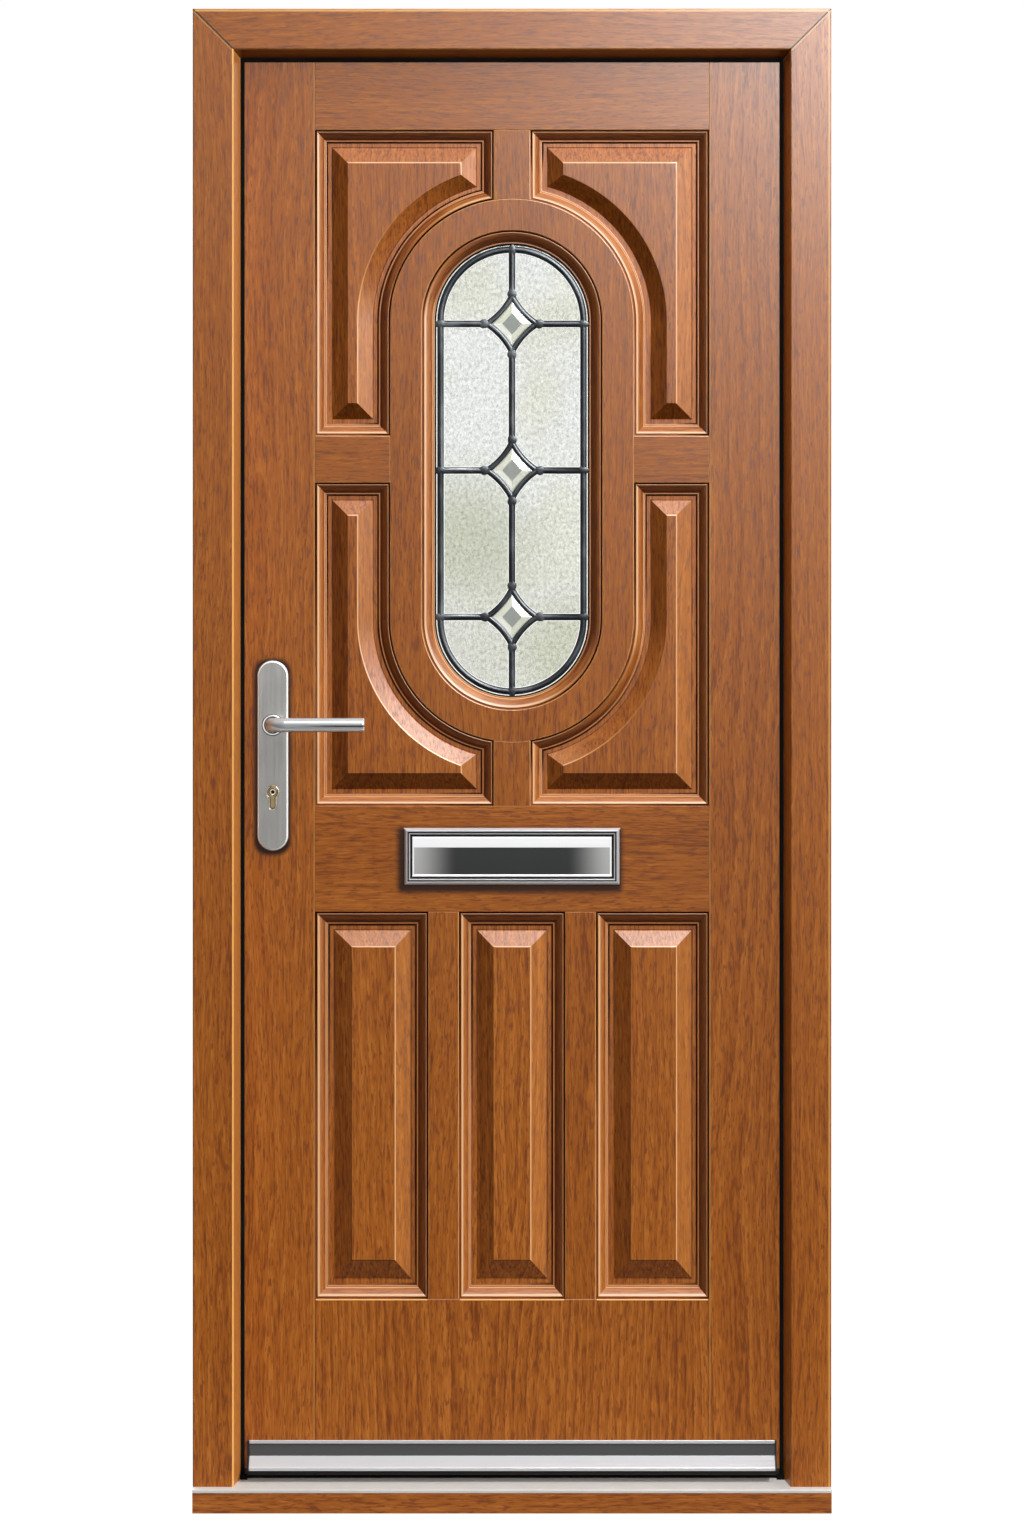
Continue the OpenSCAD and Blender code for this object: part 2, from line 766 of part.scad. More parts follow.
// Weathered timber sill with a drip groove
module sill() {
    color(timber)
        along_x(-frame_x, frame_x)
            difference() {
                polygon([
                    [nose_y, 0], [back, 0], [back, sill_h + sill_rise], [0, sill_h + sill_rise],
                    [nose_y, sill_h]
                ]);
                translate([nose_y + 3 * throat_r, 0])
                    circle(throat_r);
            }
}

// Metal plate over the sill, turned down at the front
module sill_plate() {
    color(aluminium)
        along_x(-frame_x, frame_x)
            polygon([
                [nose_y, sill_h], [0, sill_h + sill_rise], [back, sill_h + sill_rise], [back, sill_top],
                [0, sill_top], [nose_y - sill_plate_t, sill_h + sill_plate_t],
                [nose_y - sill_plate_t, sill_h - sill_lip_h], [nose_y, sill_h - sill_lip_h]
            ]);
}

// Weather seal behind the stop, up both jambs and along the head
module frame_seal() {
    outer_x = stop_x + seal_lap;
    inner_x = stop_x - seal_lip;
    color(rubber)
        along_y(0, seal_gap - seal_clear)
            difference() {
                rectangle(-outer_x, outer_x, sill_top, outer_x + head_shift);
                rectangle(-inner_x, inner_x, sill_top - cut, inner_x + head_shift);
            }
}

// Strike plate let into the lock jamb
module strike_plate() {
    color(steel)
        difference() {
            along_x(-rebate_x - strike_t, -rebate_x)
                rectangle(leaf_mid - strike_w / 2, leaf_mid + strike_w / 2, strike_z0, strike_z1);
            keep_room(latch_z, latch_h, strike_t + cut);
            keep_room(deadbolt_z, deadbolt_h, strike_t + cut);
        }
}

// One knuckle of a hinge and the web that joins it to its plate
module knuckle(i, z, x0) {
    z0 = z - hinge_h / 2 + i * (knuckle_h + knuckle_gap);
    difference() {
        along_z(z0, z0 + knuckle_h)
            union() {
                translate([hinge_x, hinge_y])
                    circle(knuckle_r);
                rectangle(x0, x0 + hinge_t, back - 2 * knuckle_clear, hinge_y);
            }
        along_z(z0 - cut, z0 + knuckle_h + cut)
            translate([hinge_x, hinge_y])
                circle(pin_r + pin_clear);
    }
}

// A hinge plate with its own knuckles
module hinge_plate(x0, z, first) {
    along_z(z - hinge_h / 2, z + hinge_h / 2)
        rectangle(x0, x0 + hinge_t, back - hinge_w, back - knuckle_clear);
    for (i = [first : 2 : 4])
        knuckle(i, z, x0);
}

// Hinge plates let into the jamb
module hinge_jamb_plates() {
    color(steel)
        for (z = hinge_levels)
            hinge_plate(rebate_x, z, 0);
}

// Hinge plates let into the leaf's edge
module hinge_leaf_plates() {
    color(steel)
        for (z = hinge_levels)
            hinge_plate(leaf_x - hinge_t, z, 1);
}

// Pins on which the leaf turns
module hinge_pins() {
    color(steel)
        for (z = hinge_levels)
            along_z(z - hinge_h / 2, z + hinge_h / 2)
                translate([hinge_x, hinge_y])
                    circle(pin_r);
}

// Room for the tenon of a rail, on the hinge side
module mortice(tenon) {
    along_x(open_x - cut, open_x + tenon_l + tenon_clear)
        rectangle(leaf_mid - tenon_t / 2 - tenon_clear, leaf_mid + tenon_t / 2 + tenon_clear,
            tenon[0] - tenon_clear, tenon[1] + tenon_clear);
}

// A stile on the hinge side, morticed for the three rails
module stile_blank() {
    difference() {
        along_z(leaf_z0, leaf_z1)
            board_outline(open_x, leaf_x, front, back);
        mortice(top_tenon);
        mortice(lock_tenon);
        mortice(bottom_tenon);
    }
}

// Outline of the lock cylinder, grown by a clearance
module cylinder_outline(grow) {
    translate([lock_x, cyl_z])
        circle(cyl_r + grow);
    rectangle(lock_x - cyl_w / 2 - grow, lock_x + cyl_w / 2 + grow, cyl_z - cyl_down + cyl_w / 2, cyl_z);
    translate([lock_x, cyl_z - cyl_down + cyl_w / 2])
        circle(cyl_w / 2 + grow);
}

// Stile that houses the lock
module lock_stile() {
    color(timber)
        difference() {
            on_lock_side()
                stile_blank();
            along_x(-leaf_x - cut, case_x)
                rectangle(leaf_mid - face_w / 2 - inlay_clear, leaf_mid + face_w / 2 + inlay_clear,
                    case_z0 - face_over - inlay_clear, case_z1 + face_over + inlay_clear);
            along_x(case_x - cut, case_x + case_d + case_clear)
                rectangle(leaf_mid - case_t / 2 - case_clear, leaf_mid + case_t / 2 + case_clear,
                    case_z0 - case_clear, case_z1 + case_clear);
            along_y(front - cut, back + cut) {
                cylinder_outline(cyl_clear);
                translate([lock_x, spindle_z])
                    circle(lever_r + neck_clear);
                for (z = [-bolt_reach, bolt_reach])
                    translate([lock_x, backplate_z + z])
                        circle(bolt_r + bolt_clear);
            }
        }
}

// Stile that carries the hinges
module hinge_stile() {
    color(timber)
        difference() {
            stile_blank();
            for (z = hinge_levels)
                hinge_inlay(leaf_x - hinge_t, leaf_x + cut, z);
        }
}

// A rail between the stiles with a tenon at each end
module rail_blank(z0, z1, tenon) {
    along_x(-open_x, open_x)
        board_outline(front, back, z0, z1);
    along_x(-open_x - tenon_l, open_x + tenon_l)
        rectangle(leaf_mid - tenon_t / 2, leaf_mid + tenon_t / 2, tenon[0], tenon[1]);
}

// Rail at the head of the leaf
module top_rail() {
    color(timber)
        rail_blank(top_rail_z0, leaf_z1, top_tenon);
}

// Rail with the letter slot
module lock_rail() {
    color(timber)
        difference() {
            rail_blank(lock_rail_z0, lock_rail_z1, lock_tenon);
            along_y(front - cut, back + cut) {
                rectangle(-slot_w / 2, slot_w / 2, letter_z - slot_h / 2, letter_z + slot_h / 2);
                for (x = [-letter_bolt_x, letter_bolt_x])
                    translate([x, letter_z])
                        circle(bolt_r + bolt_clear);
            }
        }
}

// Rail at the foot of the leaf
module bottom_rail() {
    color(timber)
        rail_blank(leaf_z0, bottom_rail_z1, bottom_tenon);
}

// Short upright between the top rail and the oval ring
module upper_oval_muntin() {
    color(timber)
        difference() {
            along_z(oval_z + oval_straight / 2, top_rail_z0)
                board_outline(-oval_muntin_w / 2, oval_muntin_w / 2, front, back);
            oval_block(ring_r);
        }
}

// Short upright between the lock rail and the oval ring
module lower_oval_muntin() {
    color(timber)
        difference() {
            along_z(lock_rail_z1, oval_z - oval_straight / 2)
                board_outline(-oval_muntin_w / 2, oval_muntin_w / 2, front, back);
            oval_block(ring_r);
        }
}

// Short rail from the hinge stile to the oval ring
module right_cross_rail() {
    color(timber)
        along_x(ring_r, open_x)
            board_outline(front, back, cross_z0, cross_z1);
}

// Short rail from the lock stile to the oval ring
module left_cross_rail() {
    color(timber)
        along_x(-open_x, -ring_r)
            board_outline(front, back, cross_z0, cross_z1);
}

// Timber ring around the oval light
module oval_ring() {
    color(timber)
        around_oval()
            board_outline(oval_r, ring_r, front, back);
}

// Upright on the lock side between the lower panels
module left_lower_muntin() {
    color(timber)
        along_z(bottom_rail_z1, lock_rail_z0)
            board_outline(-muntin_x1, -muntin_x0, front, back);
}

// Upright on the hinge side between the lower panels
module right_lower_muntin() {
    color(timber)
        along_z(bottom_rail_z1, lock_rail_z0)
            board_outline(muntin_x0, muntin_x1, front, back);
}

// Panel above the cross rail on the lock side
module upper_left_panel() {
    color(timber)
        oval_panel(upper_left);
}

// Panel above the cross rail on the hinge side
module upper_right_panel() {
    color(timber)
        oval_panel(upper_right);
}

// Panel below the cross rail on the lock side
module middle_left_panel() {
    color(timber)
        oval_panel(middle_left);
}

// Panel below the cross rail on the hinge side
module middle_right_panel() {
    color(timber)
        oval_panel(middle_right);
}

// Tall lower panel on the lock side
module lower_left_panel() {
    color(timber)
        panel(lower_left);
}

// Tall lower panel in the middle
module lower_middle_panel() {
    color(timber)
        panel(lower_middle);
}

// Tall lower panel on the hinge side
module lower_right_panel() {
    color(timber)
        panel(lower_right);
}

// Mouldings of the four openings around the oval, outside
module oval_outside_mouldings() {
    color(timber_dark)
        for (o = oval_openings)
            oval_moulding(o);
}

// Mouldings of the three lower openings, outside
module lower_outside_mouldings() {
    color(timber_dark)
        for (o = lower_openings)
            moulding_bars(o);
}

// Mouldings of all seven openings, inside
module inside_mouldings() {
    color(timber_dark)
        on_inside() {
            for (o = oval_openings)
                oval_moulding(o);
            for (o = lower_openings)
                moulding_bars(o);
        }
}

// Bead that holds the glass from the outside
module outside_glazing_bead() {
    color(timber_dark)
        around_oval()
            translate([oval_r, front])
                mirror([1, 0])
                    moulding_section(bead_w, ovolo_r, bead_seat);
}

// Bead that holds the glass from the inside
module inside_glazing_bead() {
    color(timber_dark)
        on_inside()
            around_oval()
                translate([oval_r, front])
                    mirror([1, 0])
                        moulding_section(bead_w, inner_ovolo_r, inner_bead_seat);
}

// Textured outer pane
module textured_pane() {
    color(glass)
        around_oval()
            rectangle(0, pane_r, front + bead_seat, front + bead_seat + pane_t);
}

// Clear inner pane
module clear_pane() {
    color(glass)
        around_oval()
            rectangle(0, pane_r, back - inner_bead_seat - pane_t, back - inner_bead_seat);
}

// Spacer bar that keeps the panes apart
module spacer_bar() {
    color(aluminium)
        around_oval()
            rectangle(pane_r - spacer_inset - spacer_w, pane_r - spacer_inset,
                front + bead_seat + pane_t, back - inner_bead_seat - pane_t);
}

// Crowned section of a lead strip, standing on y = 0 towards -y
module lead_section() {
    intersection() {
        translate([0, lead_round - lead_h])
            circle(lead_round);
        rectangle(-lead_w / 2, lead_w / 2, -lead_h, 0);
    }
}

// Upright lead strip on the oval's middle line
module lead_upright(z0, z1) {
    along_z(oval_z + z0, oval_z + z1)
        lead_section();
}

// Level lead strip from the border to a diamond
module lead_level(z) {
    along_x(diamond_half_w, sight_r - lead_margin)
        translate([0, oval_z + z])
            swapped()
                lead_section();
}

// One bowed side of a diamond, from its top to its right-hand corner
module lead_diamond_side(z) {
    translate([diamond_arc_x, 0, oval_z + z + diamond_arc_z])
        rotate([90, 0, 0])
            rotate([0, 0, diamond_start])
                rotate_extrude(angle = diamond_turn)
                    translate([diamond_arc_r, 0])
                        mirror([0, 1])
                            lead_section();
}

// Lead strips on one face of the pane, standing on Y = 0
module lead_net() {
    top_z = oval_straight / 2 + border_r + lead_w / 2;
    around_oval()
        translate([border_r, 0])
            lead_section();
    lead_upright(diamond_rise + diamond_half_h, top_z);
    lead_upright(diamond_half_h, diamond_rise - diamond_half_h);
    lead_upright(-diamond_rise + diamond_half_h, -diamond_half_h);
    lead_upright(-top_z, -diamond_rise - diamond_half_h);
    for (z = [-diamond_rise, 0, diamond_rise]) {
        lead_level(z);
        mirror([1, 0, 0])
            lead_level(z);
        lead_diamond_side(z);
        mirror([1, 0, 0])
            lead_diamond_side(z);
        translate([0, 0, 2 * (oval_z + z)])
            mirror([0, 0, 1]) {
                lead_diamond_side(z);
                mirror([1, 0, 0])
                    lead_diamond_side(z);
            }
    }
}

// Lead strips on both faces of the textured pane
module lead_overlay() {
    color(lead) {
        translate([0, front + bead_seat, 0])
            lead_net();
        translate([0, front + bead_seat + pane_t, 0])
            mirror([0, 1, 0])
                lead_net();
    }
}

// Diamonds of bevelled glass framed by the lead
module bevelled_diamonds() {
    half_w = diamond_half_w - lead_w / 2 - 2 * diamond_bow;
    half_h = diamond_half_h - lead_w / 2 - 2 * diamond_bow;
    color(glass)
        for (z = [-diamond_rise, 0, diamond_rise])
            translate([0, front + bead_seat, oval_z + z])
                rotate([90, 0, 0])
                    linear_extrude(diamond_t, scale = 0.5)
                        polygon([[0, half_h], [-half_w, 0], [0, -half_h], [half_w, 0]]);
}

// Outer outline of the weather bar in Y and Z, open at its back
function bar_outline() = [
    [front, bar_z0 + bar_h], [front - bar_t - bar_lip, bar_z0 + bar_h],
    [front - bar_t - bar_lip, bar_z0 + bar_h - bar_lip_h],
    [front - bar_t, bar_z0 + bar_h - bar_lip_h], [front - bar_t, bar_z0 + bar_nose_h + bar_apron_h],
    [front - bar_out, bar_z0 + bar_nose_h], [front - bar_out, bar_z0]
];

// Metal weather bar with its apron and drip edge
module weather_bar() {
    half_l = bar_x - bar_cap_t;
    color(aluminium)
        along_x(-half_l, half_l)
            polygon(concat(bar_outline(), [
                [front - bar_out + bar_t, bar_z0],
                [front - bar_out + bar_t, bar_z0 + bar_nose_h - bar_t / 2],
                [front, bar_z0 + bar_nose_h + bar_apron_h - bar_t / 2]
            ]));
}

// Caps that close the weather bar's ends
module weather_bar_caps() {
    color(rubber)
        for (x = [-bar_x, bar_x - bar_cap_t])
            along_x(x, x + bar_cap_t)
                polygon(concat(bar_outline(), [[front, bar_z0]]));
}

// Seal under the leaf
module foot_seal() {
    y0 = front + foot_seal_in;
    half_l = stop_x - seal_lip - foot_seal_end;
    color(rubber)
        along_x(-half_l, half_l)
            rectangle(y0, y0 + foot_seal_w, sill_top + foot_seal_clear, leaf_z0);
}

// Moulded section of the letter plate's border, from its outer edge inward and out from the leaf
module letter_section() {
    polygon([
        [0, 0], [letter_border, 0], [letter_border, letter_lip], [letter_border - 2.5, letter_lip],
        [letter_border - 2.5, letter_ridge - 1.5], [letter_border / 2, letter_ridge - 1.5],
        [letter_border / 2, letter_ridge], [3.5, letter_ridge], [0, letter_ridge / 2]
    ]);
}

// Mitred border on the outside face of the leaf
module letter_border_frame() {
    for (side = [0, 1])
        mirror([side, 0, 0])
            intersection() {
                along_z(letter_z - letter_h / 2, letter_z + letter_h / 2)
                    translate([letter_w / 2, front])
                        rotate(180)
                            letter_section();
                along_y(front - letter_ridge - cut, front)
                    polygon([
                        [letter_w / 2, letter_z - letter_h / 2], [letter_w / 2, letter_z + letter_h / 2],
                        [letter_w / 2 - letter_h / 2, letter_z]
                    ]);
            }
    for (side = [-1, 1])
        intersection() {
            along_x(-letter_w / 2, letter_w / 2)
                translate([front, letter_z + side * letter_h / 2])
                    mirror([0, side < 0 ? 0 : 1])
                        mirror([1, 0])
                            swapped()
                                letter_section();
            along_y(front - letter_ridge - cut, front)
                polygon([
                    [-letter_w / 2, letter_z + side * letter_h / 2],
                    [letter_w / 2, letter_z + side * letter_h / 2],
                    [letter_w / 2 - letter_h / 2, letter_z], [-letter_w / 2 + letter_h / 2, letter_z]
                ]);
        }
}

// Border of the letter plate outside, with blind holes for its bolts
module letter_frame() {
    color(chrome)
        difference() {
            letter_border_frame();
            for (x = [-letter_bolt_x, letter_bolt_x])
                translate([x, front + cut, letter_z])
                    rotate([90, 0, 0])
                        cylinder(h = cut + letter_lip, r = bolt_r + bolt_clear);
        }
}

// Border of the letter plate inside, bored for the bolts
module letter_inner_frame() {
    color(chrome)
        difference() {
            on_inside()
                letter_border_frame();
            for (x = [-letter_bolt_x, letter_bolt_x])
                translate([x, back + letter_ridge + cut, letter_z])
                    rotate([90, 0, 0])
                        cylinder(h = letter_ridge + 2 * cut, r = bolt_r + bolt_clear);
        }
}

// Sleeve that lines the letter slot
module letter_sleeve() {
    half_w = slot_w / 2 - sleeve_clear;
    half_h = slot_h / 2 - sleeve_clear;
    color(rubber)
        along_y(front, back)
            difference() {
                rectangle(-half_w, half_w, letter_z - half_h, letter_z + half_h);
                rectangle(-half_w + sleeve_t, half_w - sleeve_t, letter_z - half_h + sleeve_t,
                    letter_z + half_h - sleeve_t);
            }
}

// Bolts that draw the letter plate's two borders together
module letter_bolts() {
    color(steel)
        for (x = [-letter_bolt_x, letter_bolt_x])
            translate([x, back + letter_ridge, letter_z])
                rotate([90, 0, 0])
                    cylinder(h = letter_ridge + leaf_t + letter_lip - cut, r = bolt_r);
}

// Flap section in Y and Z, hanging from its rolled top edge
module flap_outline() {
    roll_back = flap_axis_y + flap_roll_r;
    roll_front = flap_axis_y - flap_roll_r;
    face_y = roll_front - flap_step;
    band_z = flap_axis_z - flap_band_h;
    foot_z = flap_axis_z + flap_roll_r - flap_h;
    translate([flap_axis_y, flap_axis_z])
        circle(flap_roll_r);
    polygon([
        [roll_front, flap_axis_z], [face_y, band_z], [face_y, foot_z + flap_lip_h],
        [face_y - flap_lip, foot_z + flap_lip_h / 2], [face_y - flap_lip, foot_z], [face_y + flap_t, foot_z],
        [face_y + flap_t, band_z - flap_t], [roll_front + flap_t, flap_axis_z - flap_roll_r]
    ]);
}

// Outer flap of the letter plate
module letter_flap() {
    color(chrome)
        along_x(-flap_w / 2, flap_w / 2)
            flap_outline();
}

// Inner flap of the letter plate
module inner_letter_flap() {
    color(chrome)
        on_inside()
            along_x(-flap_w / 2, flap_w / 2)
                flap_outline();
}

// Half section of a backplate from its middle to its edge, with the front edge rounded
module backplate_section() {
    half_w = backplate_w / 2;
    flat_w = half_w - backplate_round;
    rectangle(0, half_w, front - backplate_t + backplate_round, front);
    rectangle(0, flat_w, front - backplate_t, front);
    translate([flat_w, front - backplate_t + backplate_round])
        circle(backplate_round);
}

// Round-ended plate with collar, bored for the neck and cut for the cylinder
module backplate_blank() {
    half_l = backplate_h / 2 - backplate_w / 2;
    collar_front = front - backplate_t - collar_h;
    difference() {
        union() {
            translate([lock_x, 0, 0]) {
                translate([0, 0, backplate_z + half_l])
                    rotate([-90, 180, 0])
                        rotate_extrude(angle = 180)
                            backplate_section();
                translate([0, 0, backplate_z - half_l])
                    rotate([-90, 0, 0])
                        rotate_extrude(angle = 180)
                            backplate_section();
                along_z(backplate_z - half_l, backplate_z + half_l) {
                    backplate_section();
                    mirror([1, 0])
                        backplate_section();
                }
            }
            along_y(collar_front, front)
                translate([lock_x, spindle_z])
                    circle(collar_r);
        }
        along_y(collar_front - cut, front + cut) {
            cylinder_outline(cyl_clear);
            translate([lock_x, spindle_z])
                circle(lever_r + neck_clear);
        }
    }
}

// Outer backplate with blind holes for its bolts
module outside_backplate() {
    color(steel)
        difference() {
            backplate_blank();
            for (z = [-bolt_reach, bolt_reach])
                translate([lock_x, front + cut, backplate_z + z])
                    rotate([90, 0, 0])
                        cylinder(h = cut + backplate_t - backplate_round, r = bolt_r + bolt_clear);
        }
}

// Inner backplate, bored and countersunk for the bolts
module inside_backplate() {
    plate_face = back + backplate_t;
    color(steel)
        difference() {
            on_inside()
                backplate_blank();
            for (z = [-bolt_reach, bolt_reach])
                translate([lock_x, 0, backplate_z + z])
                    rotate([-90, 0, 0]) {
                        translate([0, 0, back - cut])
                            cylinder(h = backplate_t + 2 * cut, r = bolt_r + bolt_clear);
                        translate([0, 0, plate_face - bolt_head_r + bolt_r])
                            cylinder(h = bolt_head_r - bolt_r + cut, r1 = bolt_r + bolt_clear,
                                r2 = bolt_head_r + bolt_clear + cut);
                    }
        }
}

// Bolts that draw the two backplates together
module backplate_bolts() {
    head_h = bolt_head_r - bolt_r;
    tip_y = front - backplate_t + backplate_round + cut;
    color(steel)
        for (z = [-bolt_reach, bolt_reach])
            translate([lock_x, 0, backplate_z + z])
                rotate([-90, 0, 0]) {
                    translate([0, 0, tip_y])
                        cylinder(h = back + backplate_t - tip_y, r = bolt_r);
                    translate([0, 0, back + backplate_t - head_h])
                        cylinder(h = head_h, r1 = bolt_r, r2 = bolt_head_r);
                }
}

// Square outline of the spindle, grown by a clearance
module spindle_outline(grow) {
    half = spindle_w / 2 + grow;
    rectangle(lock_x - half, lock_x + half, spindle_z - half, spindle_z + half);
}

// Half section of the lever's rounded tip
module lever_tip_section() {
    rectangle(0, lever_r - lever_tip_round, 0, lever_tip_round);
    intersection() {
        translate([lever_r - lever_tip_round, 0])
            circle(lever_tip_round);
        rectangle(lever_r - lever_tip_round, lever_r, 0, lever_tip_round);
    }
}

// Lever on the outside: neck, bend, straight grip and rounded tip
module lever_blank() {
    bend_y = lever_y + lever_bend;
    tip_x = lock_x + lever_l - lever_tip_round;
    difference() {
        union() {
            along_y(bend_y, front)
                translate([lock_x, spindle_z])
                    circle(lever_r);
            translate([lock_x + lever_bend, bend_y, spindle_z])
                rotate([0, 0, 180])
                    rotate_extrude(angle = 90)
                        translate([lever_bend, 0])
                            circle(lever_r);
            along_x(lock_x + lever_bend, tip_x)
                translate([lever_y, spindle_z])
                    circle(lever_r);
            translate([tip_x, lever_y, spindle_z])
                rotate([0, 90, 0])
                    rotate_extrude()
                        lever_tip_section();
        }
        along_y(front - spindle_in - spindle_clear, front + cut)
            spindle_outline(spindle_clear);
    }
}

// Outer lever
module outside_lever() {
    color(steel)
        lever_blank();
}

// Inner lever
module inside_lever() {
    color(steel)
        on_inside()
            lever_blank();
}

// Square bar that joins the levers through the lock
module spindle() {
    color(steel)
        along_y(front - spindle_in, back + spindle_in)
            spindle_outline(0);
}

// Follower in the lock case: hub and finger, turned by the spindle
module follower() {
    half_t = case_t / 2 - case_wall - slide_clear;
    color(steel)
        along_y(leaf_mid - half_t, leaf_mid + half_t)
            difference() {
                union() {
                    translate([lock_x, spindle_z])
                        circle(hub_r);
                    rectangle(lock_x - finger_w / 2, lock_x + finger_w / 2, spindle_z,
                        spindle_z + finger_l);
                }
                spindle_outline(spindle_clear);
            }
}

// Hollow lock case with its faceplate, open for bolts, spindle and cylinder
module lock_case() {
    half_t = case_t / 2;
    color(steel)
        difference() {
            union() {
                along_x(case_x, case_x + case_d)
                    rectangle(leaf_mid - half_t, leaf_mid + half_t, case_z0, case_z1);
                along_x(-leaf_x, case_x)
                    rectangle(leaf_mid - face_w / 2, leaf_mid + face_w / 2, case_z0 - face_over,
                        case_z1 + face_over);
            }
            along_x(case_x, case_x + case_d - case_wall)
                rectangle(leaf_mid - half_t + case_wall, leaf_mid + half_t - case_wall,
                    case_z0 + case_wall, case_z1 - case_wall);
            along_x(-leaf_x - cut, case_x + cut) {
                rectangle(leaf_mid - bolt_t / 2 - slide_clear, leaf_mid + bolt_t / 2 + slide_clear,
                    latch_z - latch_h / 2 - slide_clear, latch_z + latch_h / 2 + slide_clear);
                rectangle(leaf_mid - bolt_t / 2 - slide_clear, leaf_mid + bolt_t / 2 + slide_clear,
                    deadbolt_z - deadbolt_h / 2 - slide_clear, deadbolt_z + deadbolt_h / 2 + slide_clear);
            }
            along_y(leaf_mid - half_t - cut, leaf_mid + half_t + cut) {
                cylinder_outline(cyl_clear);
                translate([lock_x, spindle_z])
                    circle(lever_r + neck_clear);
            }
        }
}

// Spring latch: bevelled head, tail and the lug that the finger moves
module latch_bolt() {
    head_x1 = -leaf_x + latch_in;
    y0 = leaf_mid - bolt_t / 2;
    y1 = leaf_mid + bolt_t / 2;
    tail_z1 = latch_z + latch_h / 2;
    color(steel) {
        along_z(latch_z - latch_h / 2, tail_z1)
            polygon([[latch_x0, y1], [latch_x0, y1 - 2], [-leaf_x, y0], [head_x1, y0], [head_x1, y1]]);
        along_x(head_x1, tail_x0 + finger_w)
            rectangle(leaf_mid - bolt_t / 4, leaf_mid + bolt_t / 4, tail_z0, tail_z1);
        along_x(tail_x0, tail_x0 + finger_w)
            rectangle(leaf_mid - bolt_t / 4, leaf_mid + bolt_t / 4, spindle_z + hub_r + 1, tail_z1);
    }
}

// Deadbolt with the tail that the cam drives, drawn back flush with the faceplate
module deadbolt() {
    x1 = -leaf_x + deadbolt_l;
    foot_z = cyl_z + cam_r + 1;
    color(steel) {
        along_x(-leaf_x, x1)
            rectangle(leaf_mid - bolt_t / 2, leaf_mid + bolt_t / 2, deadbolt_z - deadbolt_h / 2,
                deadbolt_z + deadbolt_h / 2);
        along_x(x1 - deadbolt_throw, x1)
            rectangle(leaf_mid - bolt_t / 4, leaf_mid + bolt_t / 4, foot_z, deadbolt_z);
    }
}

// Body of the lock cylinder, bored for the plug and open in the middle for the cam
module cylinder_body() {
    y0 = front - backplate_t - cyl_out;
    y1 = back + backplate_t + cyl_out;
    color(brass)
        difference() {
            along_y(y0, y1)
                cylinder_outline(0);
            along_y(y0 - cut, y1 + cut)
                translate([lock_x, cyl_z])
                    circle(plug_r + plug_clear);
            along_y(leaf_mid - cam_slot / 2, leaf_mid + cam_slot / 2)
                rectangle(lock_x - 2 * cyl_r, lock_x + 2 * cyl_r, cyl_z - cam_r - 1, cyl_z + 2 * cyl_r);
        }
}

// Plug with a keyway at each end and the cam in its middle
module cylinder_plug() {
    y0 = front - backplate_t - cyl_out;
    y1 = back + backplate_t + cyl_out;
    half_cam = cam_slot / 2 - cam_clear;
    color(brass)
        difference() {
            union() {
                along_y(y0, y1)
                    translate([lock_x, cyl_z])
                        circle(plug_r);
                along_y(leaf_mid - half_cam, leaf_mid + half_cam) {
                    translate([lock_x, cyl_z])
                        circle(cyl_r);
                    rectangle(lock_x - cam_w / 2, lock_x + cam_w / 2, cyl_z, cyl_z + cam_r - cam_clear);
                }
            }
            along_y(y0 - cut, y0 + key_d)
                rectangle(lock_x - key_w / 2, lock_x + key_w / 2, cyl_z - key_h / 2, cyl_z + key_h / 2);
            along_y(y1 - key_d, y1 + cut)
                rectangle(lock_x - key_w / 2, lock_x + key_w / 2, cyl_z - key_h / 2, cyl_z + key_h / 2);
        }
}

frame_head();
lock_jamb();
hinge_jamb();
sill();
sill_plate();
frame_seal();
strike_plate();
hinge_jamb_plates();
hinge_pins();
lock_stile();
hinge_stile();
top_rail();
lock_rail();
bottom_rail();
upper_oval_muntin();
lower_oval_muntin();
left_cross_rail();
right_cross_rail();
oval_ring();
left_lower_muntin();
right_lower_muntin();
upper_left_panel();
upper_right_panel();
middle_left_panel();
middle_right_panel();
lower_left_panel();
lower_middle_panel();
lower_right_panel();
oval_outside_mouldings();
lower_outside_mouldings();
inside_mouldings();
outside_glazing_bead();
inside_glazing_bead();
textured_pane();
clear_pane();
spacer_bar();
lead_overlay();
bevelled_diamonds();
weather_bar();
weather_bar_caps();
foot_seal();
hinge_leaf_plates();
letter_frame();
letter_inner_frame();
letter_sleeve();
letter_bolts();
outside_backplate();
inside_backplate();
backplate_bolts();
lock_case();
cylinder_body();
outside_lever();
inside_lever();
spindle();
follower();
latch_bolt();
deadbolt();
cylinder_plug();
letter_flap();
inner_letter_flap();
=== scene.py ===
import math

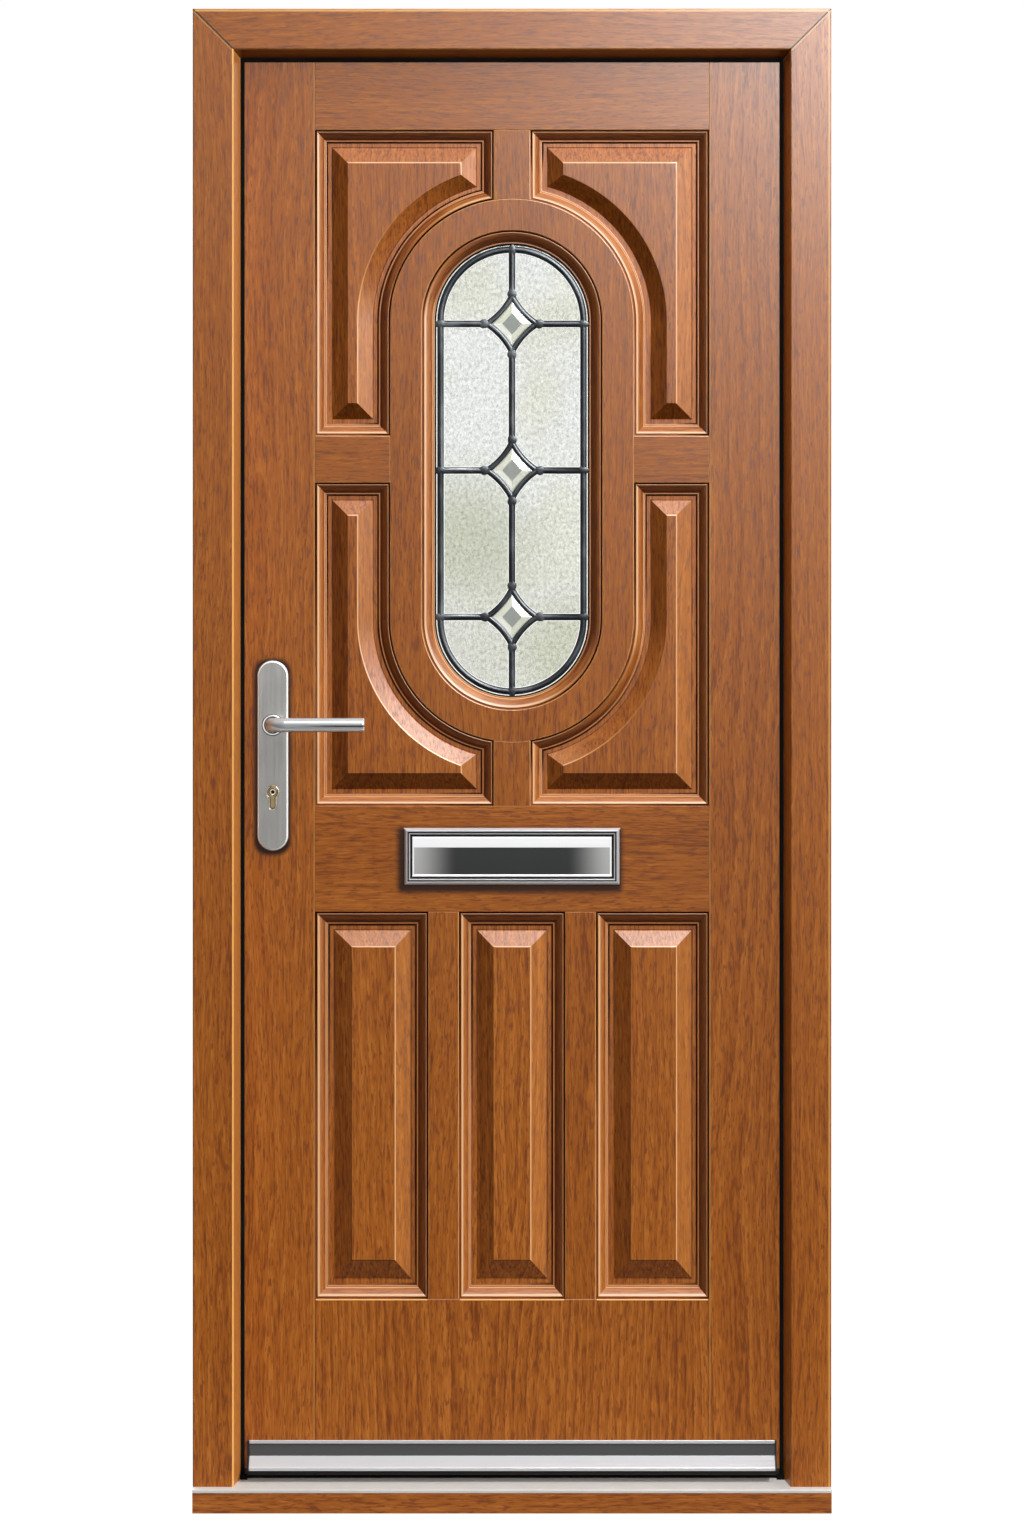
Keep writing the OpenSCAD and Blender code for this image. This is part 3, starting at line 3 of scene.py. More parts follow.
import bmesh
import bpy
import numpy as np
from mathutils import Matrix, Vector


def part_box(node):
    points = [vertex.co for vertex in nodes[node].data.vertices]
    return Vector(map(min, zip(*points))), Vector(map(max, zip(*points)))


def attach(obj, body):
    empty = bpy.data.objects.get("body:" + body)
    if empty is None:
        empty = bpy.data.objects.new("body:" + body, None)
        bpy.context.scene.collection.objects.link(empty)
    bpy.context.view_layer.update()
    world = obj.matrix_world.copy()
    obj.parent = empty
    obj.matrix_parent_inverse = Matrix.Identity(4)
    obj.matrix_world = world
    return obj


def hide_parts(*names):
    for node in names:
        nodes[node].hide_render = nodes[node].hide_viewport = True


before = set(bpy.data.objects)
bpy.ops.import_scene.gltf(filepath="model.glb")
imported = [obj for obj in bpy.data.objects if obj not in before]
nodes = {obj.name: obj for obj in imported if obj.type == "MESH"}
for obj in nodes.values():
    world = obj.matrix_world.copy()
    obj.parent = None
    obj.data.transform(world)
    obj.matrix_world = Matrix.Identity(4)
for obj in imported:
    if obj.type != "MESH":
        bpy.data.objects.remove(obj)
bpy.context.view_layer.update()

# Colours are linear. The timber runs from the pale early wood to the dark pores.
TIMBER_PALE = (0.43, 0.139, 0.020, 1)
TIMBER_BODY = (0.32, 0.089, 0.008, 1)
TIMBER_DARK = (0.165, 0.036, 0.002, 1)
# The arris tone is partly stain rubbed thin and partly painted highlight. After it come painted highlight and painted
# shade for faces by how they look to the sun, painted shade for quirks, painted highlight for arrises that look to the
# sun, the dark of open joints that also serves as painted shade, painted shade for the leaf's ends and painted shadow
# round the plates.
TIMBER_ARRIS_WEAR_AND_HIGHLIGHT = (0.56, 0.24, 0.065, 1)
TIMBER_HIGHLIGHT = (0.76, 0.47, 0.26, 1)
TIMBER_SHADED = (0.66, 0.60, 0.36, 1)
QUIRK_SHADE = (0.07, 0.04, 0.02, 1)
ARRIS_HIGHLIGHT = (0.68, 0.34, 0.09, 1)
JOINT_AND_SHADE_DARK = (0.008, 0.003, 0.001, 1)
END_SHADE = (0.006, 0.003, 0.002, 1)
PLATE_SHADOW = (0.010, 0.003, 0.001, 1)

# The way to the sun, by which faces and arrises are given painted highlights and painted shade
SUNWARD = np.array([0.547, -0.391, 0.740])

# Middle height of the oval light, the pane's end radius, half its straight sides and the lead border's end radius
PANE_LOW, PANE_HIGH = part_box("textured_pane")
OVAL_Z = (PANE_LOW.z + PANE_HIGH.z) / 2
PANE_R = (PANE_HIGH.x - PANE_LOW.x) / 2
PANE_STRAIGHT = (PANE_HIGH.z - PANE_LOW.z) / 2 - PANE_R
LEAD_LOW, LEAD_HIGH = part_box("lead_overlay")
BORDER_R = (LEAD_HIGH.x - LEAD_LOW.x) / 2 - 0.0045

# Room between a panel's edge and its opening
PANEL_CLEAR = 0.0015


# Shader building blocks

class Field:
    """A value that changes over a surface, held as a shader socket. Arithmetic on fields adds Math nodes."""

    def __init__(self, socket):
        self.socket, self.tree = socket, socket.id_data

    __add__ = __radd__ = lambda self, other: worked("ADD", self, other)
    __mul__ = __rmul__ = lambda self, other: worked("MULTIPLY", self, other)
    __sub__ = lambda self, other: worked("SUBTRACT", self, other)
    __rsub__ = lambda self, other: worked("SUBTRACT", other, self)
    __truediv__ = lambda self, other: worked("DIVIDE", self, other)
    __abs__ = lambda self: worked("ABSOLUTE", self)


def add(tree, kind, **settings):
    """Adds one shader node and sets the properties named."""
    node = tree.nodes.new(kind)
    for key, value in settings.items():
        setattr(node, key, value)
    return node


def feed(socket, value):
    """Links a socket from a field, or sets it to a plain number, vector or colour."""
    if isinstance(value, Field):
        value.tree.links.new(value.socket, socket)
    else:
        socket.default_value = value


def wired(tree, kind, inputs, output=0, **settings):
    """Adds one shader node, feeds its inputs and gives one output."""
    node = add(tree, kind, **settings)
    for key, value in inputs.items():
        feed(node.inputs[key], value)
    return Field(node.outputs[output])


def worked(operation, *values):
    """One step of arithmetic."""
    tree = next(value.tree for value in values if isinstance(value, Field))
    return wired(tree, "ShaderNodeMath", dict(enumerate(values)), operation=operation)


def most(a, b):
    """The larger of two."""
    return worked("MAXIMUM", a, b)


def least(a, b):
    """The smaller of two."""
    return worked("MINIMUM", a, b)


def clamped(field):
    """A sum or product held from 0 to 1."""
    field.socket.node.use_clamp = True
    return field


def stretch(place, scale):
    """Place times scale, axis by axis."""
    return wired(place.tree, "ShaderNodeVectorMath", {0: place, 1: scale}, operation="MULTIPLY")


def parts(place):
    """The X, Y and Z of a place."""
    node = add(place.tree, "ShaderNodeSeparateXYZ")
    feed(node.inputs[0], place)
    return {socket.name: Field(socket) for socket in node.outputs}


def mottle(place, scale, detail, rough=0.5):
    """Noise of about one blotch to 1/scale of the place's length, from 0 to 1."""
    return wired(place.tree, "ShaderNodeTexNoise",
                 {"Vector": place, "Scale": scale, "Detail": detail, "Roughness": rough})


def between(value, low, high, out_low=0.0, out_high=1.0):
    """Value from low to high eased into out_low to out_high."""
    return wired(value.tree, "ShaderNodeMapRange", dict(enumerate((value, low, high, out_low, out_high))),
                 interpolation_type="SMOOTHSTEP")


def within(value, low, high, soft):
    """One between low and high, falling to nought over a soft edge."""
    return between(value, low - soft, low) * between(value, high, high + soft, 1.0, 0.0)


def length(a, b):
    """Length of a vector from its two parts."""
    return worked("SQRT", a * a + b * b)


def blend(factor, a, b, mode="MIX"):
    """Two colours blended by a factor."""
    return wired(factor.tree, "ShaderNodeMix", {0: factor, 6: a, 7: b}, 2, data_type="RGBA", blend_type=mode)


def layered(colour, *layers):
    """Colours laid over one another, each by its own mask."""
    for mask, tone in layers:
        colour = blend(mask, colour, tone)
    return colour


VECTOR, NUMBER, COLOUR = "NodeSocketVector", "NodeSocketFloat", "NodeSocketColor"
SURFACE = (("Color", COLOUR), ("Roughness", NUMBER), ("Height", NUMBER))


def new_group(name, inputs, outputs=SURFACE):
    """A shader node group with named sockets, its inputs as fields and its output node's sockets."""
    group = bpy.data.node_groups.new(name, "ShaderNodeTree")
    for label, kind, value in inputs:
        socket = group.interface.new_socket(name=label, in_out="INPUT", socket_type=kind)
        if value is not None:
            socket.default_value = value
    for label, kind in outputs:
        group.interface.new_socket(name=label, in_out="OUTPUT", socket_type=kind)
    given = add(group, "NodeGroupInput").outputs
    return group, {label: Field(given[label]) for label, _, _ in inputs}, add(group, "NodeGroupOutput").inputs


def timber_group():
    """Stained and varnished timber with its grain along Z: growth rings round an axis that runs nearly
    along the board, broad tone bands, fine streaks and short dark pores."""
    group, given, out = new_group(
        "varnished_timber",
        [("Place", VECTOR, None), ("Pale", COLOUR, TIMBER_PALE), ("Body", COLOUR, TIMBER_BODY),
         ("Dark", COLOUR, TIMBER_DARK), ("Figure", NUMBER, 0.5), ("Pores", NUMBER, 0.5), ("Gloss", NUMBER, 0.4)])
    place = given["Place"]
    drift = (mottle(stretch(place, (1, 1, 0.16)), 4.5, 3) - 0.5) * 0.10
    shift = wired(group, "ShaderNodeCombineXYZ", {0: drift, 1: drift})
    bent = wired(group, "ShaderNodeVectorMath", {0: place, 1: shift}, operation="ADD")
    rings = wired(group, "ShaderNodeTexWave",
                  {"Vector": bent, "Scale": 26, "Distortion": 0.9, "Detail": 2, "Detail Scale": 1.2}, 1,
                  wave_type="RINGS", rings_direction="Z", wave_profile="SAW")
    broad = mottle(stretch(place, (1, 1, 0.05)), 15, 3, 0.55)
    streak = mottle(stretch(bent, (1, 1, 0.03)), 95, 3, 0.6)
    fibre = mottle(stretch(bent, (1, 1, 0.08)), 380, 2, 0.65)
    pore = between(mottle(stretch(bent, (1, 1, 0.14)), 430, 1), 0.57, 0.68)
    tone = (broad - 0.5) * 0.9 + (streak - 0.5) * 0.5 + (rings - 0.5) * given["Figure"] + (fibre - 0.5) * 3.0
    feed(out["Color"], layered(given["Body"], (between(tone, 0.0, -0.75), given["Pale"]),
                               (between(tone, 0.0, 0.75), given["Dark"]),
                               (clamped(pore * given["Pores"] * 1.5), given["Dark"])))
    feed(out["Roughness"], given["Gloss"] + (fibre - 0.5) * 0.14 + pore * 0.05)
    feed(out["Height"], fibre * 0.35 - pore * 0.12)
    return group


def metal_group():
    """Worked metal: drawn lines along one way, handling smudges and a little tarnish."""
    group, given, out = new_group(
        "worked_metal",
        [("Place", VECTOR, None), ("Brush", VECTOR, (1.0, 1.0, 1.0)), ("Clean", COLOUR, (0.7, 0.7, 0.7, 1)),
         ("Tarnish", COLOUR, (0.4, 0.4, 0.4, 1)), ("Amount", NUMBER, 0.3), ("Gloss", NUMBER, 0.25),
         ("Lines", NUMBER, 0.1)])
    place, amount = given["Place"], given["Amount"]
    drawn = mottle(stretch(place, given["Brush"]), 1.0, 2, 0.6)
    smudge = mottle(place, 30, 4, 0.6)
    grime = between(mottle(place, 140, 3, 0.65), 0.52, 0.75) * amount * 0.5
    feed(out["Color"], layered(given["Clean"], (between(smudge, 0.40, 0.75) * amount, given["Tarnish"]),
                               (grime, given["Tarnish"])))
    rough = given["Gloss"] + (drawn - 0.5) * given["Lines"] + (smudge - 0.5) * 0.3 * amount
    feed(out["Roughness"], most(rough, 0.03))
    feed(out["Height"], drawn)
    return group


def skin_group():
    """A moulded or cast skin: fine pitting, with a dusting that gathers in blotches."""
    group, given, out = new_group(
        "cast_skin",
        [("Place", VECTOR, None), ("Clean", COLOUR, (0.02, 0.02, 0.02, 1)), ("Dust", COLOUR, (0.1, 0.1, 0.1, 1)),
         ("Amount", NUMBER, 0.3), ("Gloss", NUMBER, 0.5), ("Pit Scale", VECTOR, (900.0, 900.0, 900.0))])
    pits = mottle(stretch(given["Place"], given["Pit Scale"]), 1.0, 2, 0.6)
    dust = between(mottle(given["Place"], 22, 4, 0.6), 0.42, 0.72) * given["Amount"]
    feed(out["Color"], blend(dust, given["Clean"], given["Dust"]))
    feed(out["Roughness"], given["Gloss"] + (pits - 0.5) * 0.2 + dust * 0.25)
    feed(out["Height"], pits)
    return group


def edges_group():
    """Painted light on worked timber: painted highlights along arrises and on faces that look to the sun, painted
    shade along arrises and on faces turned from it, and painted shade in quirks."""
    group, given, out = new_group(
        "painted_edge_light",
        [("Color", COLOUR, TIMBER_BODY), ("Roughness", NUMBER, 0.4), ("Arris_Lighting", NUMBER, 0.0), ("Crease_Shade", NUMBER, 0.0),
         ("Facing", NUMBER, 0.4), ("Fade", NUMBER, 0.6), ("Pale", COLOUR, TIMBER_ARRIS_WEAR_AND_HIGHLIGHT)],
        [("Color", COLOUR), ("Roughness", NUMBER), ("Metallic", NUMBER)])
    facing = given["Facing"]
    # Painted highlight on arrises that look to the sun; painted shade on arrises turned from it, added to the painted
    # shade in creases
    arris_lighting = clamped(given["Arris_Lighting"] * between(facing, 0.25, 0.55, 0.0, 2.0))
    crease_shade = clamped(given["Crease_Shade"] + given["Arris_Lighting"] * between(facing, 0.32, 0.14, 0.0, 1.4))
    # Painted shade on faces turned from the sun, and painted highlight and sheen on faces that look to it
    shade = between(facing, 0.25, 0.06)
    colour = layered(given["Color"], (within(facing, 0.54, 0.61, 0.05) * 0.18, given["Pale"]), (arris_lighting, given["Pale"]),
                     (arris_lighting * between(facing, 0.45, 0.56, 0.0, 0.8), TIMBER_HIGHLIGHT),
                     (between(facing, 0.73, 0.83) * given["Fade"], TIMBER_HIGHLIGHT))
    colour = blend(shade, colour, TIMBER_SHADED, "MULTIPLY")
    feed(out["Color"], blend(crease_shade, colour, QUIRK_SHADE, "MULTIPLY"))
    # Metallic where painted shade lies, to take the white shine off it
    feed(out["Metallic"], most(crease_shade, shade * 0.4))
    calm = between(facing, 0.60, 0.72, 0.0, 0.09)
    feed(out["Roughness"], clamped(given["Roughness"] + calm + arris_lighting * -0.06 + crease_shade * 0.6))
    return group


TIMBER = timber_group()
METAL = metal_group()
SKIN = skin_group()
EDGES = edges_group()


def dressed(name, group, place_of, values, bump, **plain):
    """A material of one Principled BSDF, fed by a group's colour, roughness and height, with plain values
    on the shader's own sockets."""
    material = bpy.data.materials.new(name)
    material.use_nodes = True
    tree = material.node_tree
    shader = tree.nodes["Principled BSDF"].inputs
    effect = add(tree, "ShaderNodeGroup", node_tree=group)
    feed(effect.inputs["Place"], place_of(tree))
    for key, value in values.items():
        feed(effect.inputs[key], value)
    colour, rough, height = (Field(effect.outputs[label]) for label, _ in SURFACE)
    feed(shader["Base Color"], colour)
    feed(shader["Roughness"], rough)
    feed(shader["Normal"], wired(tree, "ShaderNodeBump",
                                 {"Strength": bump[0], "Distance": bump[1], "Height": height}))
    for key, value in plain.items():
        feed(shader[key.replace("_", " ")], value)
    return material


def object_place(tree):
    """The point on the object, in metres."""
    return wired(tree, "ShaderNodeTexCoord", {}, "Object")


def grain_place(along, pith, lean):
    """The point turned so that the grain runs along Z, with the tree's axis off by pith and leaning."""
    turn = (math.radians(lean), math.radians(90) if along == "x" else 0.0, 0)

    def place(tree):
        return wired(tree, "ShaderNodeMapping", {"Vector": object_place(tree), "Location": pith, "Rotation": turn})
    return place


def length_place(tree):
    """The point along and across a moulding, from its UV map, turned so that the grain runs along Z."""
    run = parts(wired(tree, "ShaderNodeUVMap", {}, uv_map="run"))
    return wired(tree, "ShaderNodeCombineXYZ", {0: run["Y"], 1: 0.07, 2: run["X"]})


def toned(colour, tone):
    """A colour made lighter or darker by a share."""
    return tuple(c * tone for c in colour[:3]) + (1,)


def timber(name, place, tone, figure, pores=0.5, gloss=0.31):
    """Golden brown stained timber under satin varnish."""
    values = {"Pale": toned(TIMBER_PALE, tone), "Body": toned(TIMBER_BODY, tone), "Dark": toned(TIMBER_DARK, tone),
              "Figure": figure, "Pores": pores, "Gloss": gloss}
    return dressed(name, TIMBER, place, values, (0.22, 0.0003), Specular_IOR_Level=0.34)


def arris(name, place, tone):
    """The arris of a timber piece, paler all round: partly stain rubbed thin, partly painted highlight."""
    values = {"Pale": toned(TIMBER_ARRIS_WEAR_AND_HIGHLIGHT, tone), "Body": toned(TIMBER_ARRIS_WEAR_AND_HIGHLIGHT, 0.9 * tone),
              "Dark": toned(TIMBER_BODY, tone), "Figure": 0.2, "Pores": 0.2, "Gloss": 0.31}
    return dressed(name, TIMBER, place, values, (0.2, 0.0003), Specular_IOR_Level=0.5)


def edged(material, tone, sun_highlight=0.6):
    """Lays painted highlights and painted shade over a timber material, from the piece's own arris, crease and facing
    marks.
    """
    tree = material.node_tree
    shader = tree.nodes["Principled BSDF"].inputs
    effect = add(tree, "ShaderNodeGroup", node_tree=EDGES)
    feed(effect.inputs["Pale"], toned(TIMBER_ARRIS_WEAR_AND_HIGHLIGHT, tone))
    feed(effect.inputs["Fade"], sun_highlight)
    for label in ("Arris_Lighting", "Crease_Shade", "Facing"):
        feed(effect.inputs[label], wired(tree, "ShaderNodeAttribute", {}, "Fac", attribute_name=label.lower()))
    for label, socket in (("Color", shader["Base Color"]), ("Roughness", shader["Roughness"])):
        feed(effect.inputs[label], Field(socket.links[0].from_socket))
        feed(socket, Field(effect.outputs[label]))
    feed(shader["Metallic"], Field(effect.outputs["Metallic"]))
    return material


def metal(name, clean, tarnish, gloss, brush, lines=0.1, amount=0.3, bump=(0.15, 0.0001), metallic=1.0):
    """Bare metal, with its drawn lines along the way that the brush scale is smallest."""
    values = {"Brush": brush, "Clean": clean + (1,), "Tarnish": tarnish + (1,), "Amount": amount, "Gloss": gloss,
              "Lines": lines}
    return dressed(name, METAL, object_place, values, bump, Metallic=metallic)


def skin(name, clean, dust, gloss, pits, amount, bump=(0.3, 0.0002), **plain):
    """Rubber, plastic, cast lead or the surface of glass."""
    values = {"Clean": clean + (1,), "Dust": dust + (1,), "Amount": amount, "Gloss": gloss, "Pit Scale": (pits,) * 3}
    return dressed(name, SKIN, object_place, values, bump, **plain)


def glass(name, tint, gloss, pits, bump, **plain):
    """Clear glass with a faint tint and a dressed surface."""
    return skin(name, tint, tuple(0.94 * c for c in tint), gloss, pits, 0.5, bump, Transmission_Weight=1.0, IOR=1.5,
                **plain)


# Finishes of the CAD pieces

def soften(name, width, angle, arris_slot=0):
    """Merges a node's loose triangles in a modifier, joins its flat faces, rounds its edges by width and
    shades it smoothly."""
    piece = nodes[name]
    piece.data.polygons.foreach_set("use_smooth", np.ones(len(piece.data.polygons), bool))
    steps = [("weld", "WELD", {"merge_threshold": 2e-6}),
             ("flat_faces", "DECIMATE", {"decimate_type": "DISSOLVE", "angle_limit": math.radians(0.2)}),
             ("arris", "BEVEL", {"width": width, "segments": 2, "limit_method": "ANGLE",
                                 "angle_limit": math.radians(angle), "use_clamp_overlap": True,
                                 "material": arris_slot, "miter_outer": "MITER_SHARP"}),
             ("shade", "WEIGHTED_NORMAL", {"keep_sharp": True})]
    for label, kind, settings in steps:
        if kind != "BEVEL" or width:
            step = piece.modifiers.new(label, kind)
            for key, value in settings.items():
                setattr(step, key, value)


def dress(name, *materials):
    """Puts materials in a CAD node's slots, the first on the whole piece."""
    slots = nodes[name].data.materials
    slots.clear()
    for material in materials:
        slots.append(material)


# Timber pieces: way of the grain, the tree's axis off the piece, lean, tone, figure
BOARDS = {
    "frame_head": ("x", (0.31, 0.10, 0.2), 0.6, 0.98, 0.35),
    "lock_jamb": ("z", (0.52, 0.09, 0.7), 0.5, 0.97, 0.35),
    "hinge_jamb": ("z", (-0.33, 0.12, 1.9), 0.4, 1.00, 0.35),
    "sill": ("x", (0.13, 0.14, 0.8), 0.7, 0.96, 0.35),
    "lock_stile": ("z", (0.40, 0.11, 3.1), 0.7, 1.00, 0.45),
    "hinge_stile": ("z", (-0.26, 0.07, 4.4), 0.9, 1.00, 0.6),
    "top_rail": ("x", (1.9, 0.15, 5.2), 0.5, 0.97, 0.35),
    "lock_rail": ("x", (0.95, 0.12, 6.3), 0.5, 0.96, 0.35),
    "bottom_rail": ("z", (0.06, 0.05, 7.7), 1.6, 0.97, 0.7),
    "upper_oval_muntin": ("z", (0.10, 0.09, 8.2), 0.6, 0.98, 0.3),
    "lower_oval_muntin": ("z", (0.14, 0.12, 9.9), 0.6, 0.97, 0.3),
    "left_cross_rail": ("x", (1.5, 0.13, 1.2), 0.6, 0.95, 0.3),
    "right_cross_rail": ("x", (1.4, 0.11, 2.7), 0.6, 0.97, 0.3),
    "oval_ring": ("z", (0.21, 0.14, 3.6), 0.7, 0.97, 0.3),
    "left_lower_muntin": ("z", (0.19, 0.1, 4.9), 0.5, 0.98, 0.3),
    "right_lower_muntin": ("z", (-0.02, 0.1, 5.6), 0.5, 0.99, 0.3),
    "upper_left_panel": ("z", (0.34, 0.08, 6.8), 0.8, 1.04, 0.4),
    "upper_right_panel": ("z", (-0.07, 0.1, 7.1), 0.8, 1.02, 0.4),
    "middle_left_panel": ("z", (0.29, 0.1, 8.8), 0.8, 1.05, 0.4),
    "middle_right_panel": ("z", (-0.1, 0.09, 9.3), 0.8, 1.02, 0.4),
    "lower_left_panel": ("z", (0.30, 0.06, 0.4), 0.9, 1.02, 0.4),
    "lower_middle_panel": ("z", (0.012, 0.035, 1.4), 2.6, 1.04, 0.8),
    "lower_right_panel": ("z", (-0.12, 0.07, 2.3), 0.9, 1.03, 0.4),
}
FRAME_BOARDS = ("frame_head", "lock_jamb", "hinge_jamb", "sill")
FRAME_ARRIS, LEAF_ARRIS = 0.0006, 0.0014
PANEL_TIMBER = {}
for name, (along, pith, lean, tone, figure) in BOARDS.items():
    place = grain_place(along, pith, lean)
    board = timber("timber_" + name, place, tone, figure)
    if name.endswith("panel"):
        PANEL_TIMBER[name] = edged(board, tone)
    else:
        dress(name, board, board if name == "bottom_rail" else arris("arris_" + name, place, tone))
        soften(name, FRAME_ARRIS if name in FRAME_BOARDS else LEAF_ARRIS, 25, 1)
LEAF_BOARDS = [name for name in BOARDS if name not in FRAME_BOARDS and name not in PANEL_TIMBER]
LOWER_PANELS = [name for name in PANEL_TIMBER if name.startswith("lower")]
MOULDING_TIMBER = edged(timber("timber_mouldings", length_place, 0.94, 0.15, 0.25, 0.42), 1.05, 0.1)

HARDWARE = metal("bright_hardware_steel", (0.58, 0.57, 0.55), (0.30, 0.28, 0.25), 0.30, (300, 300, 20), 0.12, 0.5)
LOCK_STEEL = metal("lock_case_steel", (0.42, 0.42, 0.42), (0.22, 0.20, 0.18), 0.38, (300, 300, 30), 0.15, 0.6)
BOLT_STEEL = metal("bolt_steel", (0.66, 0.64, 0.60), (0.40, 0.36, 0.30), 0.22, (20, 300, 300), 0.08, 0.4)
SILL_METAL = metal("sill_plate_aluminium", (0.56, 0.54, 0.51), (0.44, 0.42, 0.40), 0.45, (6, 420, 420), 0.14, 0.35,
                   (0.05, 0.0001), 0.25)
LEAD = skin("dull_lead", (0.017, 0.021, 0.025), (0.060, 0.067, 0.073), 0.32, 420, 0.5, (0.3, 0.0003), Metallic=0.5)
SEAL = skin("seal_rubber", (0.006, 0.006, 0.006), (0.014, 0.013, 0.012), 0.7, 1100, 0.4, Specular_IOR_Level=0.0)
CAP = skin("end_cap_plastic", (0.012, 0.012, 0.014), (0.04, 0.04, 0.04), 0.42, 800, 0.3, Specular_IOR_Level=0.3)
SLEEVE = skin("sleeve_plastic", (0.010, 0.010, 0.011), (0.04, 0.04, 0.04), 0.5, 800, 0.4, Specular_IOR_Level=0.2)
SPACER = metal("spacer_aluminium", (0.60, 0.61, 0.62), (0.4, 0.4, 0.41), 0.4, (300, 300, 300), 0.1, 0.3)
CLEAR = glass("clear_glass", (0.975, 0.985, 0.98), 0.02, 60, (0.02, 0.0002))

# Spacing of the diamonds, half width and height of their flat middles, and the arc of their lead sides
DIAMOND_STEP = 0.202
DIAMOND_FLAT = (0.0133, 0.0148)
BOW_R, BOW_X, BOW_Z = 0.0946, 0.0849, 0.0797


def recoloured(material, paint, metallic=None):
    """Passes a material's colour through a paint function of its colour and place, and may vary how metallic
    it is by a function of the place."""
    shader = material.node_tree.nodes["Principled BSDF"].inputs
    place = parts(object_place(material.node_tree))
    colour = shader["Base Color"]
    feed(colour, paint(Field(colour.links[0].from_socket), place))
    if metallic:
        feed(shader["Metallic"], metallic(place))
    return material


def repainted(board, paint):
    """Passes the colour of each of a board's materials through a paint function."""
    for material in dict.fromkeys(nodes[board].data.materials):
        recoloured(material, paint)


def off_middle(place, node, axis):
    """Distance from a node's middle along X or Z, and half the node's size that way."""
    low, high = (getattr(corner, axis.lower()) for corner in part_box(node))
    return abs(place[axis] - (low + high) / 2), (high - low) / 2


def plate_reach(place, node, corner):
    """Distance outside a plate's outline, taken as a rectangle with round corners; less than nought inside."""
    past = [most(off - (half - corner), 0.0) for off, half in (off_middle(place, node, axis) for axis in "XZ")]
    return length(*past) - corner


def shadowed_round(board, plate, corner, width, depth, left, down):
    """Paints a soft shadow on a board round a plate, more to its left and below it, away from the sun."""
    def paint(colour, place):
        moved = {"X": place["X"] + left, "Z": place["Z"] + down}
        return blend(between(plate_reach(moved, plate, corner), width, 0.0, 0.0, depth), colour, PLATE_SHADOW)
    repainted(board, paint)


def shaded_ends(board):
    """Painted shade on the foot of a board, below the weather bar, and on the leaf's top edge, under the frame's head.
    """
    foot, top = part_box("weather_bar")[0].z + 0.001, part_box("top_rail")[1].z - 0.0012

    def paint(colour, place):
        ends = most(between(place["Z"], foot + 0.0004, foot), between(place["Z"], top, top + 0.0004))
        return blend(ends, colour, END_SHADE)
    repainted(board, paint)


def from_middle(place):
    """Distance from the door's middle."""
    return abs(place["X"])


def height(place):
    """Height above the floor."""
    return place["Z"]


def off_mitre(place):
    """Distance from the frame's mitre, less than nought on the head's side."""
    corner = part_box("frame_head")[1]
    return (from_middle(place) - (place["Z"] - (corner.z - corner.x))) * math.sqrt(0.5)


def under_openings(place):
    """Height above the foot of the lower openings, and far off where there is none."""
    boxes = [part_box(panel) for panel in LOWER_PANELS]
    inside = sum(within(place["X"], low.x, high.x, 0.001) for low, high in boxes)
    return place["Z"] - (boxes[-1][0].z - PANEL_CLEAR) - (1.0 - inside)


def lined(board, *lines):
    """Draws fine lines on a board, each given by a measure, its lowest and highest value, a colour and a strength."""
    def paint(colour, place):
        return layered(colour, *((within(measure(place), low, high, 0.0003) * strength, tone)
                                 for measure, low, high, tone, strength in lines))
    repainted(board, paint)


def bar_metal():
    """The weather bar: bright drawn aluminium, darker grey along its upright face."""
    low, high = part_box("weather_bar")

    def paint(colour, place):
        return blend(within(place["Z"], low.z + 0.0187, high.z - 0.0047, 0.0004), colour, (0.085, 0.085, 0.086, 1))
    return recoloured(metal("weather_bar_aluminium", (0.56, 0.565, 0.58), (0.50, 0.505, 0.52), 0.30, (7, 500, 500),
                            0.10, 0.06, (0.04, 0.0001), 0.35), paint)


def flap_metal(name, node):
    """A letter flap: polished steel with a painted reflection, dark in the middle where it would mirror the dim room
    and paler toward its ends, and painted highlights along a band at the top, along the foot and at the ends."""
    low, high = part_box(node)
    half = (high.x - low.x) / 2

    def bright(place):
        top = between(place["Z"], high.z - 0.0150, high.z - 0.0146)
        foot = between(place["Z"], low.z + 0.0034, low.z + 0.0029)
        return most(top, most(foot, between(from_middle(place), half - 0.0026, half - 0.0021)))

    # Painted reflection, dark in the middle and paler toward the ends, under the painted highlights
    def paint(colour, place):
        toward_end = between(from_middle(place) / half, 0.55, 1.05)
        mirrored = blend(toward_end, (0.080, 0.083, 0.083, 1), (0.90, 0.90, 0.88, 1))
        return blend(bright(place), mirrored, (0.90, 0.90, 0.91, 1))

    def metallic(place):
        return between(bright(place), 0.0, 1.0, 0.55, 0.05)
    return recoloured(metal(name, (0.72, 0.72, 0.73), (0.50, 0.50, 0.51), 0.16, (12, 420, 420), 0.05, 0.2,
                            (0.02, 0.0001)), paint, metallic)


